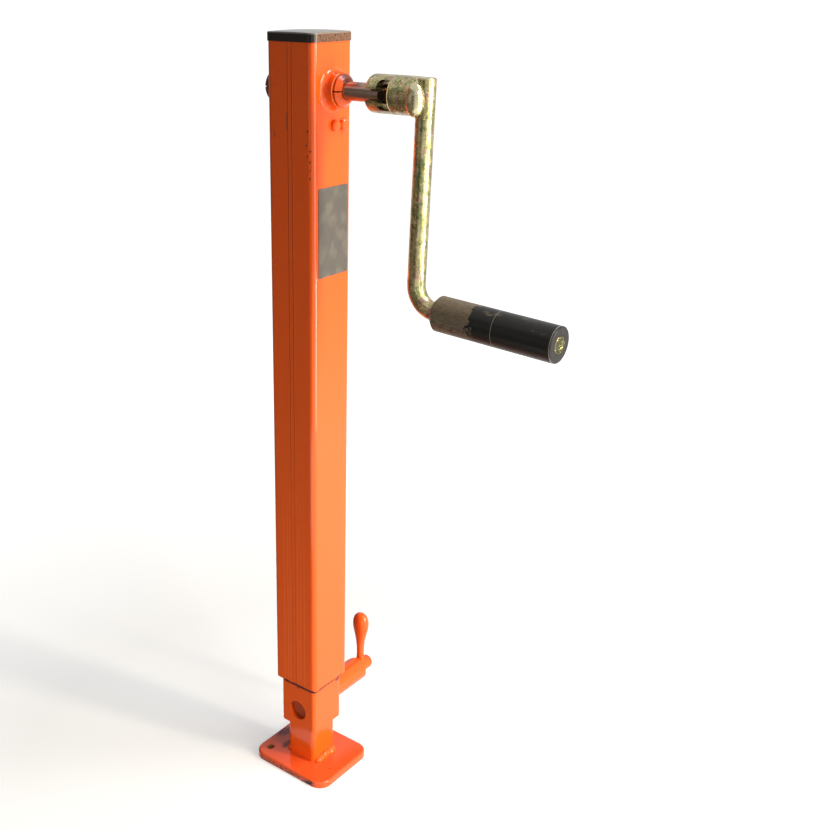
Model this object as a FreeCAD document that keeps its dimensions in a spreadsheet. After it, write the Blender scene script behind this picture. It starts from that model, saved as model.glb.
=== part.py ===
import FreeCAD, Part
import math
import os

import Sketcher
from FreeCAD import Placement, Rotation, Vector

# Drop leg trailer jack: a square telescopic leg, raised by a side crank through a bevel gear
# and a screw, with an inner drop leg that is set on a row of holes by a cam-lever lock pin.
# Frame in millimetres: +Z up, origin at the middle of the foot plate's underside,
# +X towards the crank, +Y towards the lock lever.

SIZES = {
    # outer tube and its drawn collars for the crank shaft
    "outer_side": 60.0,
    "outer_wall": 4.2,
    "outer_corner": 6.5,
    "outer_bottom": 116.5,
    "outer_length": 717.0,
    "shaft_drop": 44.5,
    "collar_wall": 1.8,
    "collar_reach": 11.5,
    "collar_root": 6.0,
    # plastic plug in the top
    "cap_flange": 8.5,
    "cap_dome": 1.2,
    "cap_overhang": 1.0,
    "cap_skirt": 18.0,
    "cap_wall": 3.0,
    # telescopic tubes
    "tube_play": 0.8,
    "inner_wall": 4.2,
    "inner_corner": 4.5,
    "inner_bottom": 55.5,
    "leg_wall": 4.0,
    "leg_corner": 5.5,
    "leg_length": 512.0,
    "hole_pitch": 45.0,
    "hole_count": 8,
    "lift_travel": 400.0,
    # foot
    "plate_long": 108.0,
    "plate_wide": 92.0,
    "plate_thick": 8.0,
    "plate_corner": 16.0,
    "plate_round": 2.4,
    "plate_hole": 10.0,
    "plate_hole_from_end": 13.0,
    "plate_hole_from_side": 17.0,
    "foot_weld": 6.0,
    "foot_weld_length": 28.0,
    # crank shaft and its bushes
    "shaft_bore": 18.0,
    "shaft_step": 14.0,
    "shaft_end": 112.0,
    "bush_side": 31.0,
    "bush_shoulder": 44.0,
    "bush_nose": 47.5,
    "bush_nose_side": 24.0,
    "bush_slit": 1.2,
    "bush_length": 20.0,
    "fit": 0.05,
    # bevel gears
    "gear_module": 2.0,
    "pinion_teeth": 14,
    "wheel_teeth": 21,
    "gear_backlash": 0.30,
    "gear_face": 7.5,
    "pinion_hub": 22.0,
    "wheel_side": 49.0,
    "wheel_web": 4.5,
    "wheel_hub": 26.0,
    "gear_pin": 3.5,
    # spindle, thrust bearing and nut
    "spindle_side": 22.0,
    "spindle_neck": 16.0,
    "spindle_shoulder": 30.0,
    "shoulder_thick": 6.0,
    "stop_room": 17.5,
    "nut_room": 27.5,
    "stop_thick": 8.0,
    "plate_bridge": 10.0,
    "rivet_drop": 34.0,
    "rivet_side": 8.0,
    "rivet_head": 11.4,
    "rivet_proud": 4.4,
    "rivet_near": 2.0,
    "rivet_far": 15.0,
    "rivet_depth": 12.0,
    "bearing_side": 32.0,
    "washer_thick": 2.45,
    "ball_side": 6.0,
    "ball_ring": 24.4,
    "ball_count": 9,
    "cage_thick": 2.0,
    "nut_length": 30.0,
    "dowel_side": 8.0,
    "dowel_length": 12.0,
    # lock on the inner tube
    "lock_height": 77.0,
    "lock_side": 22.0,
    "lock_travel": 16.0,
    "window_side": 24.0,
    "housing_side": 29.0,
    "housing_length": 65.0,
    "housing_guide": 5.0,
    "knuckle_bore": 20.0,
    "lock_head": 26.0,
    "rod_side": 12.0,
    "rod_end_side": 8.0,
    "knuckle_side": 17.0,
    "knuckle_length": 23.0,
    "rivet_dome": 15.0,
    "dome_thick": 3.0,
    "spring_wire": 2.0,
    "spring_turns": 5,
    "lever_stem": 9.6,
    "lever_play": 0.4,
    "lever_tenon": 5.8,
    "lever_reach": 75.0,
    "lever_broad": 21.0,
    "lever_thick": 16.5,
    "weld_leg": 4.0,
    # crank
    "hub_side": 36.0,
    "hub_start": 79.0,
    "hub_bore_play": 0.3,
    "hub_bore_depth": 36.0,
    "hub_round": 3.5,
    "hub_saddle": 3.0,
    "slot_stem": 10.8,
    "slot_wing": 27.8,
    "slot_neck": 14.3,
    "slot_length": 12.7,
    "slot_round": 4.5,
    "slot_small_round": 1.6,
    "cross_pin": 10.0,
    "cross_pin_length": 34.0,
    "arm_side": 18.0,
    "arm_x": 138.0,
    "arm_lean": 1.42,
    "grip_droop": 2.57,
    "arm_top": 17.0,
    "arm_throw": 198.4,
    "arm_bend": 24.0,
    "grip_side": 35.0,
    "grip_length": 131.0,
    "grip_start": 26.0,
    "grip_spindle": 14.0,
    "grip_chamfer": 3.0,
    "grip_cap_side": 18.0,
    "grip_cap_depth": 4.5,
    "crank_weld_high": 29.0,
    "crank_weld_long": 17.0,
    "crank_weld_deep": 14.0,
    # type plate, bare
    "label_long": 90.5,
    "label_wide": 47.0,
    "label_thick": 0.5,
    "label_drop": 182.5,
    "label_shift": 0.5,
    "label_corner": 2.0,
}

SHEET = "Sizes"
doc = FreeCAD.newDocument("TrailerJack")


class Size:
    """A value of the sheet, or a sum or product of some: its text in the document, and its number."""

    def __init__(self, text, value):
        self.text = text
        self.value = value

    def mix(self, sign, other, value, swap=False):
        other_text = other.text if isinstance(other, Size) else repr(float(other))
        first, last = (other_text, self.text) if swap else (self.text, other_text)
        return Size(f"({first} {sign} {last})", value)

    def __add__(self, other):
        return self.mix("+", other, self.value + number(other))

    def __radd__(self, other):
        return self.mix("+", other, number(other) + self.value, True)

    def __sub__(self, other):
        return self.mix("-", other, self.value - number(other))

    def __rsub__(self, other):
        return self.mix("-", other, number(other) - self.value, True)

    def __mul__(self, other):
        return self.mix("*", other, self.value * number(other))

    def __rmul__(self, other):
        return self.mix("*", other, number(other) * self.value, True)

    def __truediv__(self, other):
        return self.mix("/", other, self.value / number(other))

    def __neg__(self):
        return self * -1.0


def number(size):
    """The plain number of a Size or of a number."""
    return size.value if isinstance(size, Size) else float(size)


def make_sheet():
    """The spreadsheet of driving dimensions, and each of its cells as a Size by its name."""
    sheet = doc.addObject("Spreadsheet::Sheet", SHEET)
    for row, (name, value) in enumerate(SIZES.items(), start=1):
        sheet.set(f"A{row}", name)
        sheet.set(f"B{row}", str(value))
        sheet.setAlias(f"B{row}", name)
    doc.recompute()
    return {name: Size(f"{SHEET}.{name}", float(value)) for name, value in SIZES.items()}


S = make_sheet()

# Sizes that follow from the driving ones
outer_half = S["outer_side"] / 2
outer_cavity = S["outer_side"] - 2 * S["outer_wall"]
outer_inner_corner = S["outer_corner"] - S["outer_wall"]
outer_top = S["outer_bottom"] + S["outer_length"]
shaft_height = outer_top - S["shaft_drop"]
rivet_height = shaft_height - S["rivet_drop"]
label_middle = outer_top - S["label_drop"]
inner_side = outer_cavity - 2 * S["tube_play"]
inner_half = inner_side / 2
inner_cavity = inner_side - 2 * S["inner_wall"]
inner_inner_corner = S["inner_corner"] * 0.3
leg_side = inner_cavity - 2 * S["tube_play"]
leg_half = leg_side / 2
leg_cavity = leg_side - 2 * S["leg_wall"]
leg_inner_corner = S["leg_corner"] - S["leg_wall"] * 0.9
shaft_bush_bore = S["shaft_bore"] / 2 + S["fit"]
collar_bore = S["bush_side"] / 2 + S["fit"]
collar_end = outer_half + S["collar_reach"]
bush_inner_end = S["bush_nose"] - S["bush_length"]
pinion_radius = S["gear_module"] * S["pinion_teeth"] / 2
wheel_radius = S["gear_module"] * S["wheel_teeth"] / 2
pinion_pin_x = wheel_radius + (bush_inner_end - 0.2 - wheel_radius) / 2
circlip_x = 1.5 - bush_inner_end - 0.1
bridge_top = rivet_height + S["plate_bridge"] / 2
wheel_pin_z = bridge_top + 0.5 + S["gear_pin"] / 2 + 1.2
bridge_bottom = rivet_height - S["plate_bridge"] / 2
upper_washer_bottom = bridge_bottom - S["washer_thick"]
ball_gap = S["ball_side"] + 2 * S["fit"]
lower_washer_top = upper_washer_bottom - ball_gap
shoulder_top = lower_washer_top - S["washer_thick"]
shoulder_bottom = shoulder_top - S["shoulder_thick"]
inner_top = shoulder_bottom - S["nut_room"]
inner_length = inner_top - S["inner_bottom"]
nut_bottom = inner_top - S["nut_length"]
spindle_bottom = nut_bottom - S["lift_travel"] - S["stop_room"]
stop_z = spindle_bottom + 4.0 - 0.05
housing_end = inner_half + S["housing_length"]
lock_bore = S["lock_side"] / 2 + S["fit"]
guide_end = housing_end - S["knuckle_bore"]
guide_start = guide_end - S["housing_guide"]
lock_tip = leg_half + 0.6
lock_head_end = lock_tip + S["lock_head"]
knuckle_start = guide_end + S["lock_travel"] + 0.5
knuckle_end = knuckle_start + S["knuckle_length"]
lever_y = housing_end + S["lever_stem"] / 2 + 1.2
knuckle_bore_radius = S["knuckle_side"] / 2 + S["fit"]
slot_end = S["slot_neck"] + S["slot_length"]
pin_x = S["hub_start"] + slot_end - S["slot_length"] / 2


def bind(thing, name, size):
    """Ties a property of an object to the sheet."""
    if isinstance(size, Size):
        thing.setExpression(name, size.text)
    else:
        setattr(thing, name, size)


def place(thing, x=0.0, y=0.0, z=0.0, axis=(0, 0, 1), angle=0.0):
    """Puts an object at a place that follows the sheet, turned by a fixed angle in degrees."""
    thing.Placement = Placement(
        Vector(number(x), number(y), number(z)), Rotation(Vector(*axis), number(angle))
    )
    for letter, size in (("x", x), ("y", y), ("z", z)):
        if isinstance(size, Size):
            thing.setExpression(f"Placement.Base.{letter}", size.text)
    return thing


# How a body that was drawn along Z is laid along X or Y
ALONG_X = {"axis": (0, 1, 0), "angle": 90.0}
ALONG_Y = {"axis": (1, 0, 0), "angle": -90.0}


def add_body(name):
    """An empty body."""
    return doc.addObject("PartDesign::Body", name)


def add_sketch(body, name, plane, height=0.0):
    """A sketch on one of the body's own origin planes, lifted along the plane's normal."""
    sketch = body.newObject("Sketcher::SketchObject", name)
    role = {"XY": "XY_Plane", "XZ": "XZ_Plane", "YZ": "YZ_Plane"}[plane]
    support = [x for x in body.Origin.OriginFeatures if x.Role == role][0]
    sketch.AttachmentSupport = [(support, "")]
    sketch.MapMode = "FlatFace"
    sketch.AttachmentOffset = Placement(Vector(0, 0, number(height)), Rotation())
    if isinstance(height, Size):
        sketch.setExpression("AttachmentOffset.Base.z", height.text)
    return sketch


def datum(sketch, kind, *where, size):
    """A dimension in a sketch that follows the sheet."""
    index = sketch.addConstraint(Sketcher.Constraint(kind, *where, number(size)))
    if isinstance(size, Size):
        sketch.setExpression(f"Constraints[{index}]", size.text)


def draw_polygon(sketch, corners):
    """A closed outline of straight lines through corners, each a pair of sizes from the origin."""
    first = sketch.GeometryCount
    points = [Vector(number(x), number(y), 0) for x, y in corners]
    count = len(points)
    for i, point in enumerate(points):
        sketch.addGeometry(Part.LineSegment(point, points[(i + 1) % count]), False)
    for i in range(count):
        after = first + (i + 1) % count
        sketch.addConstraint(Sketcher.Constraint("Coincident", first + i, 2, after, 1))
    for i, (x, y) in enumerate(corners):
        datum(sketch, "DistanceX", -1, 1, first + i, 1, size=x)
        datum(sketch, "DistanceY", -1, 1, first + i, 1, size=y)


def draw_circle(sketch, x, y, side):
    """A circle of a given diameter about a point."""
    index = sketch.GeometryCount
    centre = Vector(number(x), number(y), 0)
    sketch.addGeometry(Part.Circle(centre, Vector(0, 0, 1), number(side) / 2), False)
    datum(sketch, "Radius", index, size=side / 2)
    datum(sketch, "DistanceX", -1, 1, index, 3, size=x)
    datum(sketch, "DistanceY", -1, 1, index, 3, size=y)


def draw_rounded(sketch, long, wide, corner):
    """A rectangle about the origin with round corners."""
    first = sketch.GeometryCount
    a, b, r = number(long) / 2, number(wide) / 2, number(corner)
    quarters = ((1, -1, -90), (1, 1, 0), (-1, 1, 90), (-1, -1, 180))
    arcs = []
    for sx, sy, start in quarters:
        centre = Vector(sx * (a - r), sy * (b - r), 0)
        circle = Part.Circle(centre, Vector(0, 0, 1), r)
        begin = math.radians(start)
        arcs.append(Part.ArcOfCircle(circle, begin, begin + math.pi / 2))
    for i, arc in enumerate(arcs):
        sketch.addGeometry(arc, False)
        sketch.addGeometry(Part.LineSegment(arc.EndPoint, arcs[(i + 1) % 4].StartPoint), False)
    for i in range(4):
        arc = first + 2 * i
        line = arc + 1
        following = first + (2 * i + 2) % 8
        sketch.addConstraint(Sketcher.Constraint("Tangent", arc, 2, line, 1))
        sketch.addConstraint(Sketcher.Constraint("Tangent", line, 2, following, 1))
        if i:
            sketch.addConstraint(Sketcher.Constraint("Equal", first, arc))
    # the straight lines run along the sides at +X, +Y, -X and -Y in turn
    right, top, left, bottom = (first + k for k in (1, 3, 5, 7))
    for line, kind in (
        (right, "Vertical"), (top, "Horizontal"), (left, "Vertical"), (bottom, "Horizontal")
    ):
        sketch.addConstraint(Sketcher.Constraint(kind, line))
    datum(sketch, "Radius", first, size=corner)
    datum(sketch, "DistanceX", -1, 1, right, 1, size=long / 2)
    datum(sketch, "DistanceX", -1, 1, left, 1, size=-long / 2)
    datum(sketch, "DistanceY", -1, 1, top, 1, size=wide / 2)
    datum(sketch, "DistanceY", -1, 1, bottom, 1, size=-wide / 2)


def pad(body, sketch, length, reverse=False, middle=False):
    """Material along the sketch's normal."""
    feature = body.newObject("PartDesign::Pad", f"{sketch.Name}_pad")
    feature.Profile = sketch
    bind(feature, "Length", length)
    feature.Reversed = reverse
    feature.Midplane = middle
    return feature


def pocket(body, sketch, length, reverse=False, middle=False):
    """A cut along the sketch's normal, which must take material away."""
    doc.recompute()
    before = body.Shape.Volume
    feature = body.newObject("PartDesign::Pocket", f"{sketch.Name}_pocket")
    feature.Profile = sketch
    bind(feature, "Length", length)
    feature.Reversed = reverse
    feature.Midplane = middle
    doc.recompute()
    if body.Shape.Volume > before - 1e-3:
        raise ValueError(f"{sketch.Name} cuts nothing")
    return feature


def soften(body, feature, pick, radius, kind="Fillet"):
    """Rounds or chamfers the edges of a feature that pick chooses."""
    doc.recompute()
    edges = [f"Edge{i + 1}" for i, edge in enumerate(feature.Shape.Edges) if pick(edge)]
    if not edges:
        raise ValueError(f"{body.Name} has no edge to soften")
    softened = body.newObject(f"PartDesign::{kind}", f"{body.Name}_{kind}_{len(body.Group)}")
    softened.Base = (feature, edges)
    bind(softened, "Radius" if kind == "Fillet" else "Size", radius)
    doc.recompute()
    return softened


def turned(name, corners):
    """A body turned about its own Z axis, from corners (radius, height)."""
    body = add_body(name)
    sketch = add_sketch(body, f"{name}_profile", "XZ")
    draw_polygon(sketch, corners)
    feature = body.newObject("PartDesign::Revolution", f"{name}_turn")
    feature.Profile = sketch
    feature.ReferenceAxis = (sketch, ["V_Axis"])
    feature.Angle = 360.0
    doc.recompute()
    return body


def cylinder(name, side, height, x=0.0, y=0.0, z=0.0, axis=(0, 0, 1), angle=0.0):
    """A round bar of a given diameter, as a tool or a pin."""
    thing = doc.addObject("Part::Cylinder", name)
    bind(thing, "Radius", side / 2)
    bind(thing, "Height", height)
    return place(thing, x, y, z, axis, angle)


def box(name, long, wide, high, x=0.0, y=0.0, z=0.0):
    """A box about x and y that stands on z, as a tool."""
    thing = doc.addObject("Part::Box", name)
    bind(thing, "Length", long)
    bind(thing, "Width", wide)
    bind(thing, "Height", high)
    return place(thing, x - long / 2, y - wide / 2, z)


def cut(name, base, *tools):
    """The base less the tools."""
    result = base
    for i, tool in enumerate(tools):
        last = i == len(tools) - 1
        step = doc.addObject("Part::Cut", name if last else f"{name}_step{i}")
        step.Base = result
        step.Tool = tool
        result = step
    return result


def fuse(name, *pieces):
    """One object of several, which stay separate solids where they don't touch."""
    joined = doc.addObject("Part::MultiFuse", name)
    joined.Shapes = list(pieces)
    return joined


def is_circle(edge, radius, axis=None, at=None):
    """Is this edge a circle of that radius, lying across an axis at that distance either way?"""
    if not isinstance(edge.Curve, Part.Circle) or abs(edge.Curve.Radius - radius) > 1e-4:
        return False
    if axis is None:
        return True
    return abs(abs(edge.Curve.Center[axis]) - at) < 1e-4


def is_tip(edge, half, height):
    """Does this edge run straight along Y at that height, at that distance from the middle?"""
    size = edge.BoundBox
    at_side = abs(abs(size.XMin) - half) < 1e-4 and size.XLength < 1e-4
    return at_side and near_height(edge, height)


def near_height(edge, height):
    """Does this edge lie all at one height?"""
    box_ = edge.BoundBox
    return abs(box_.ZMin - height) < 1e-4 and abs(box_.ZMax - height) < 1e-4


def square_tube(name, side, corner, length):
    """A square tube that stands on its own origin. Returns the body, with its outside padded."""
    body = add_body(name)
    outside = add_sketch(body, f"{name}_outside", "XY")
    draw_rounded(outside, side, side, corner)
    pad(body, outside, length)
    return body


def hollow(body, cavity, corner, length):
    """Takes the square inside out of a tube, from the bottom up."""
    inside = add_sketch(body, f"{body.Name}_inside", "XY")
    draw_rounded(inside, cavity, cavity, corner)
    return pocket(body, inside, length, reverse=True)


def make_outer_tube():
    """The outer tube: its walls are drawn out into collars where the crank shaft passes."""
    body = square_tube("outer_tube", S["outer_side"], S["outer_corner"], S["outer_length"])
    shaft_z = shaft_height - S["outer_bottom"]
    collar = add_sketch(body, "collar", "YZ")
    draw_circle(collar, 0.0, shaft_z, 2 * (collar_bore + S["collar_wall"]))
    necks = pad(body, collar, 2 * collar_end, middle=True)
    radius = number(collar_bore + S["collar_wall"])
    rooted = soften(
        body, necks, lambda e: is_circle(e, radius, 0, number(outer_half)), S["collar_root"]
    )
    soften(
        body, rooted, lambda e: is_circle(e, radius, 0, number(collar_end)),
        S["collar_wall"] * 0.45,
    )
    hollow(body, outer_cavity, outer_inner_corner, S["outer_length"])
    bores = add_sketch(body, "collar_bores", "YZ")
    draw_circle(bores, 0.0, shaft_z, 2 * collar_bore)
    pocket(body, bores, 2 * collar_end + 2.0, middle=True)
    rivets = add_sketch(body, "rivet_holes", "YZ")
    for y in (S["rivet_near"], S["rivet_far"]):
        draw_circle(rivets, y, rivet_height - S["outer_bottom"], S["rivet_side"] + 2 * S["fit"])
    pocket(body, rivets, S["outer_side"] + 2.0, middle=True)
    return place(body, z=S["outer_bottom"])


def dome(body, name, height, rise, side):
    """Takes off all above a shallow dome: rise lower where it is side / 1.5 from the middle."""
    reach, over = side / 1.5, side
    radius = (reach * reach / rise + rise) / 2
    middle = height - radius
    sketch = add_sketch(body, name, "XZ")
    r, end = number(radius), math.asin(number(over / radius))
    circle = Part.Circle(Vector(0, number(middle), 0), Vector(0, 0, 1), r)
    curve = Part.ArcOfCircle(circle, math.pi / 2 - end, math.pi / 2)
    high = number(height) + 1.0
    corners = [curve.EndPoint, Vector(0, high, 0), Vector(number(over), high, 0), curve.StartPoint]
    sketch.addGeometry(curve, False)
    for start, stop in zip(corners, corners[1:]):
        sketch.addGeometry(Part.LineSegment(start, stop), False)
    for here, there in (((0, 2), (1, 1)), ((1, 2), (2, 1)), ((2, 2), (3, 1)), ((3, 2), (0, 1))):
        sketch.addConstraint(Sketcher.Constraint("Coincident", *here, *there))
    for line, kind in ((1, "Vertical"), (2, "Horizontal"), (3, "Vertical")):
        sketch.addConstraint(Sketcher.Constraint(kind, line))
    datum(sketch, "DistanceX", -1, 1, 0, 3, size=0.0)
    datum(sketch, "DistanceY", -1, 1, 0, 3, size=middle)
    datum(sketch, "Radius", 0, size=radius)
    datum(sketch, "DistanceX", -1, 1, 2, 2, size=over)
    datum(sketch, "DistanceX", -1, 1, 1, 1, size=0.0)
    datum(sketch, "DistanceY", -1, 1, 1, 2, size=height + 1.0)
    groove = body.newObject("PartDesign::Groove", f"{name}_turn")
    groove.Profile = sketch
    groove.ReferenceAxis = (sketch, ["V_Axis"])
    groove.Angle = 360.0
    doc.recompute()
    return groove


def make_top_cap():
    """The plastic plug: a domed flange on the tube's end, and a hollow skirt that grips inside."""
    body = add_body("top_cap")
    flange = add_sketch(body, "cap_flange_outline", "XY")
    side = S["outer_side"] + 2 * S["cap_overhang"]
    draw_rounded(flange, side, side, S["outer_corner"] + S["cap_overhang"])
    height = S["cap_flange"] + S["cap_dome"]
    blank = pad(body, flange, height)
    high = number(height)
    soften(body, blank, lambda e: near_height(e, high), S["cap_flange"] * 0.32)
    dome(body, "cap_dome_profile", height, S["cap_dome"], side)
    skirt = add_sketch(body, "cap_skirt_outline", "XY")
    skirt_side = outer_cavity - 2 * S["fit"]
    draw_rounded(skirt, skirt_side, skirt_side, outer_inner_corner)
    pad(body, skirt, S["cap_skirt"], reverse=True)
    inside = add_sketch(body, "cap_inside", "XY", -S["cap_skirt"])
    inside_side = skirt_side - 2 * S["cap_wall"]
    draw_rounded(inside, inside_side, inside_side, outer_inner_corner)
    pocket(body, inside, S["cap_skirt"] + S["cap_flange"] - S["cap_wall"], reverse=True)
    return place(body, z=outer_top)


def make_bush(name, bore, direction):
    """A wrapped steel bush in a collar: a tapered nose outside, and the slit of its joint."""
    body = turned(
        f"{name}_ring",
        [
            (bore / 2 + S["fit"], bush_inner_end),
            (S["bush_side"] / 2, bush_inner_end),
            (S["bush_side"] / 2, S["bush_shoulder"]),
            (S["bush_nose_side"] / 2, S["bush_nose"]),
            (bore / 2 + S["fit"], S["bush_nose"]),
        ],
    )
    place(body, z=shaft_height, axis=(0, 1, 0), angle=90.0 * direction)
    slit = box(
        f"{name}_slit", S["bush_length"] + 2.0, S["bush_side"] / 2, S["bush_slit"],
        direction * (S["bush_nose"] - S["bush_length"] / 2), -S["bush_side"] / 4 - bore / 4,
        shaft_height - S["bush_slit"] / 2,
    )
    return cut(name, body, slit)


def make_drive_shaft():
    """The crank shaft: full size on the crank side, stepped down to carry the pinion."""
    end = S["bush_nose"] + 1.0
    step = bush_inner_end - 0.1
    body = turned(
        "drive_shaft_bar",
        [
            (0.0, -end),
            (S["shaft_step"] / 2 - 1.0, -end),
            (S["shaft_step"] / 2, 1.0 - end),
            (S["shaft_step"] / 2, step),
            (S["shaft_bore"] / 2, step),
            (S["shaft_bore"] / 2, S["shaft_end"] - 1.5),
            (S["shaft_bore"] / 2 - 1.5, S["shaft_end"]),
            (0.0, S["shaft_end"]),
        ],
    )
    place(body, z=shaft_height, **ALONG_X)
    crank_hole = cylinder(
        "shaft_crank_hole", S["cross_pin"] + 2 * S["fit"], S["shaft_bore"] + 2.0,
        pin_x, -S["shaft_bore"] / 2 - 1.0, shaft_height, **ALONG_Y,
    )
    pinion_hole = cylinder(
        "shaft_pinion_hole", S["gear_pin"] + 2 * S["fit"], S["shaft_step"] + 2.0,
        pinion_pin_x, -S["shaft_step"] / 2 - 1.0, shaft_height, **ALONG_Y,
    )
    ring_groove = turned(
        "circlip_groove",
        [
            (S["shaft_step"] / 2 - 0.7, 0.0),
            (S["shaft_step"] / 2 + 1.0, 0.0),
            (S["shaft_step"] / 2 + 1.0, 1.3),
            (S["shaft_step"] / 2 - 0.7, 1.3),
        ],
    )
    place(ring_groove, x=circlip_x - 0.05, z=shaft_height, **ALONG_X)
    return cut("drive_shaft", body, crank_hole, pinion_hole, ring_groove)


def make_shaft_circlip():
    """The spring ring that keeps the shaft from moving towards the crank."""
    ring = turned(
        "circlip_ring",
        [
            (S["shaft_step"] / 2 - 0.65, 0.0),
            (S["shaft_step"] / 2 + 2.6, 0.0),
            (S["shaft_step"] / 2 + 2.6, 1.2),
            (S["shaft_step"] / 2 - 0.65, 1.2),
        ],
    )
    place(ring, x=circlip_x, z=shaft_height, **ALONG_X)
    mouth = box(
        "circlip_mouth", 4.0, 8.0, S["shaft_step"], circlip_x + 0.6, 0.0,
        shaft_height + S["shaft_step"] / 4,
    )
    return cut("shaft_circlip", ring, mouth)


def bevel_outline(teeth, mate, scale):
    """The outline of a straight bevel gear on a flat section across its axis.

    It is the involute of the equivalent spur gear on the back cone, cut where the section
    stands at scale times the pitch distance from the point where the two axes cross.
    """
    module, backlash = number(S["gear_module"]), number(S["gear_backlash"])
    own, other = teeth * module / 2, mate * module / 2
    cone = math.hypot(own, other)
    pitch = math.atan2(own, other)
    flat = own / math.tan(pitch) * scale
    spur = own / math.cos(pitch)
    base = spur * math.cos(math.radians(20.0))
    ratio = 1 / math.cos(pitch)

    def half_angle(radius):
        """Half a tooth's width, as an angle about the gear's own axis."""
        slope = math.acos(min(1.0, base / radius))
        spread = math.tan(math.radians(20.0)) - math.radians(20.0) - math.tan(slope) + slope
        return ((math.pi * module / 2 - backlash) / (2 * spur) + spread) * ratio

    heights = (-1.25 * module, -0.5 * module, 0.0, 0.5 * module, 0.95 * module)
    flank = []
    for height in heights:
        radius = flat * math.tan(pitch + math.atan2(height, cone))
        flank.append((radius, half_angle(max(spur + height, base))))
    points = []
    for tooth in range(teeth):
        middle = 2 * math.pi * tooth / teeth
        points += [(r, middle - a) for r, a in flank]
        points += [(r, middle + a) for r, a in reversed(flank)]
    return [Vector(r * math.cos(a), r * math.sin(a), flat) for r, a in points]


def bevel_teeth(teeth, mate, scale_far, scale_near, turn):
    """The toothed cone of a bevel gear between two flat sections, with the crossing point at 0."""
    wires = []
    for scale in (scale_far, scale_near):
        outline = bevel_outline(teeth, mate, scale)
        wires.append(Part.makePolygon(outline + outline[:1]))
    solid = Part.makeLoft(wires, True, True)
    solid.rotate(Vector(), Vector(0, 0, 1), math.degrees(turn))
    return solid


def round_bar(side, start, end):
    """A plain round bar along Z."""
    return Part.makeCylinder(side / 2, end - start, Vector(0, 0, start))


def make_bevel_pinion():
    """The small bevel gear, pinned on the crank shaft."""
    teeth, mate = int(SIZES["pinion_teeth"]), int(SIZES["wheel_teeth"])
    near = 1 - number(S["gear_face"]) / math.hypot(number(pinion_radius), number(wheel_radius))
    solid = bevel_teeth(teeth, mate, 1.0, near, 0.0)
    large = number(wheel_radius)
    hub_end = number(bush_inner_end) - 0.2
    solid = solid.fuse(round_bar(number(S["pinion_hub"]), large, hub_end))
    solid = solid.cut(round_bar(number(S["shaft_step"] + 2 * S["fit"]), 0, hub_end + 1))
    hole = Part.makeCylinder(number(S["gear_pin"] / 2 + S["fit"]), 2 * large)
    hole.Placement = Placement(
        Vector(0, -large, number(pinion_pin_x)), Rotation(Vector(1, 0, 0), -90)
    )
    thing = doc.addObject("Part::Feature", "bevel_pinion")
    thing.Shape = solid.cut(hole).removeSplitter()
    return place(thing, z=shaft_height, **ALONG_X)


def make_bevel_wheel():
    """The large bevel gear on top of the lifting spindle, trimmed to fit inside the tube."""
    teeth, mate = int(SIZES["wheel_teeth"]), int(SIZES["pinion_teeth"])
    near = 1 - number(S["gear_face"]) / math.hypot(number(pinion_radius), number(wheel_radius))
    far = 1.25
    turn = math.pi / teeth
    solid = bevel_teeth(teeth, mate, far, near, turn)
    bottom = number(pinion_radius) * far
    side = number(S["wheel_side"])
    solid = solid.common(round_bar(side, 0, bottom))
    web_end = bottom + number(S["wheel_web"])
    solid = solid.fuse(round_bar(side, bottom, web_end))
    hub_end = number(shaft_height - bridge_top) - 0.5
    solid = solid.fuse(round_bar(number(S["wheel_hub"]), web_end, hub_end))
    solid = solid.cut(round_bar(number(S["spindle_neck"] + 2 * S["fit"]), 0, hub_end + 1))
    hole = Part.makeCylinder(number(S["gear_pin"] / 2 + S["fit"]), 2 * side)
    drop = number(shaft_height - wheel_pin_z)
    hole.Placement = Placement(Vector(0, -side, drop), Rotation(Vector(1, 0, 0), -90))
    thing = doc.addObject("Part::Feature", "bevel_wheel")
    thing.Shape = solid.cut(hole).removeSplitter()
    return place(thing, z=shaft_height, axis=(1, 0, 0), angle=180.0)


def make_gear_pin(name, length, x, z):
    """A spring pin along Y through a gear's hub."""
    return cylinder(name, S["gear_pin"], length, x, -length / 2, z, **ALONG_Y)


def make_lifting_spindle():
    """The screw that lifts: its shoulder bears upwards on the thrust bearing."""
    top = shaft_height - S["shaft_bore"] / 2 - 1.6
    collar = spindle_bottom + S["stop_thick"] + 4.0
    body = turned(
        "spindle_bar",
        [
            (0.0, spindle_bottom),
            (S["spindle_neck"] / 2, spindle_bottom),
            (S["spindle_neck"] / 2, collar),
            (S["spindle_side"] / 2, collar),
            (S["spindle_side"] / 2, shoulder_bottom),
            (S["spindle_shoulder"] / 2, shoulder_bottom),
            (S["spindle_shoulder"] / 2, shoulder_top),
            (S["spindle_neck"] / 2, shoulder_top),
            (S["spindle_neck"] / 2, top),
            (0.0, top),
        ],
    )
    wheel_hole = cylinder(
        "spindle_wheel_hole", S["gear_pin"] + 2 * S["fit"], S["spindle_neck"] + 2.0,
        0.0, -S["spindle_neck"] / 2 - 1.0, wheel_pin_z, **ALONG_Y,
    )
    stop_hole = cylinder(
        "spindle_stop_hole", S["gear_pin"] + 2 * S["fit"], S["spindle_neck"] + 2.0,
        0.0, -S["spindle_neck"] / 2 - 1.0, stop_z + S["stop_thick"] / 2, **ALONG_Y,
    )
    return cut("lifting_spindle", body, wheel_hole, stop_hole)


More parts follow.
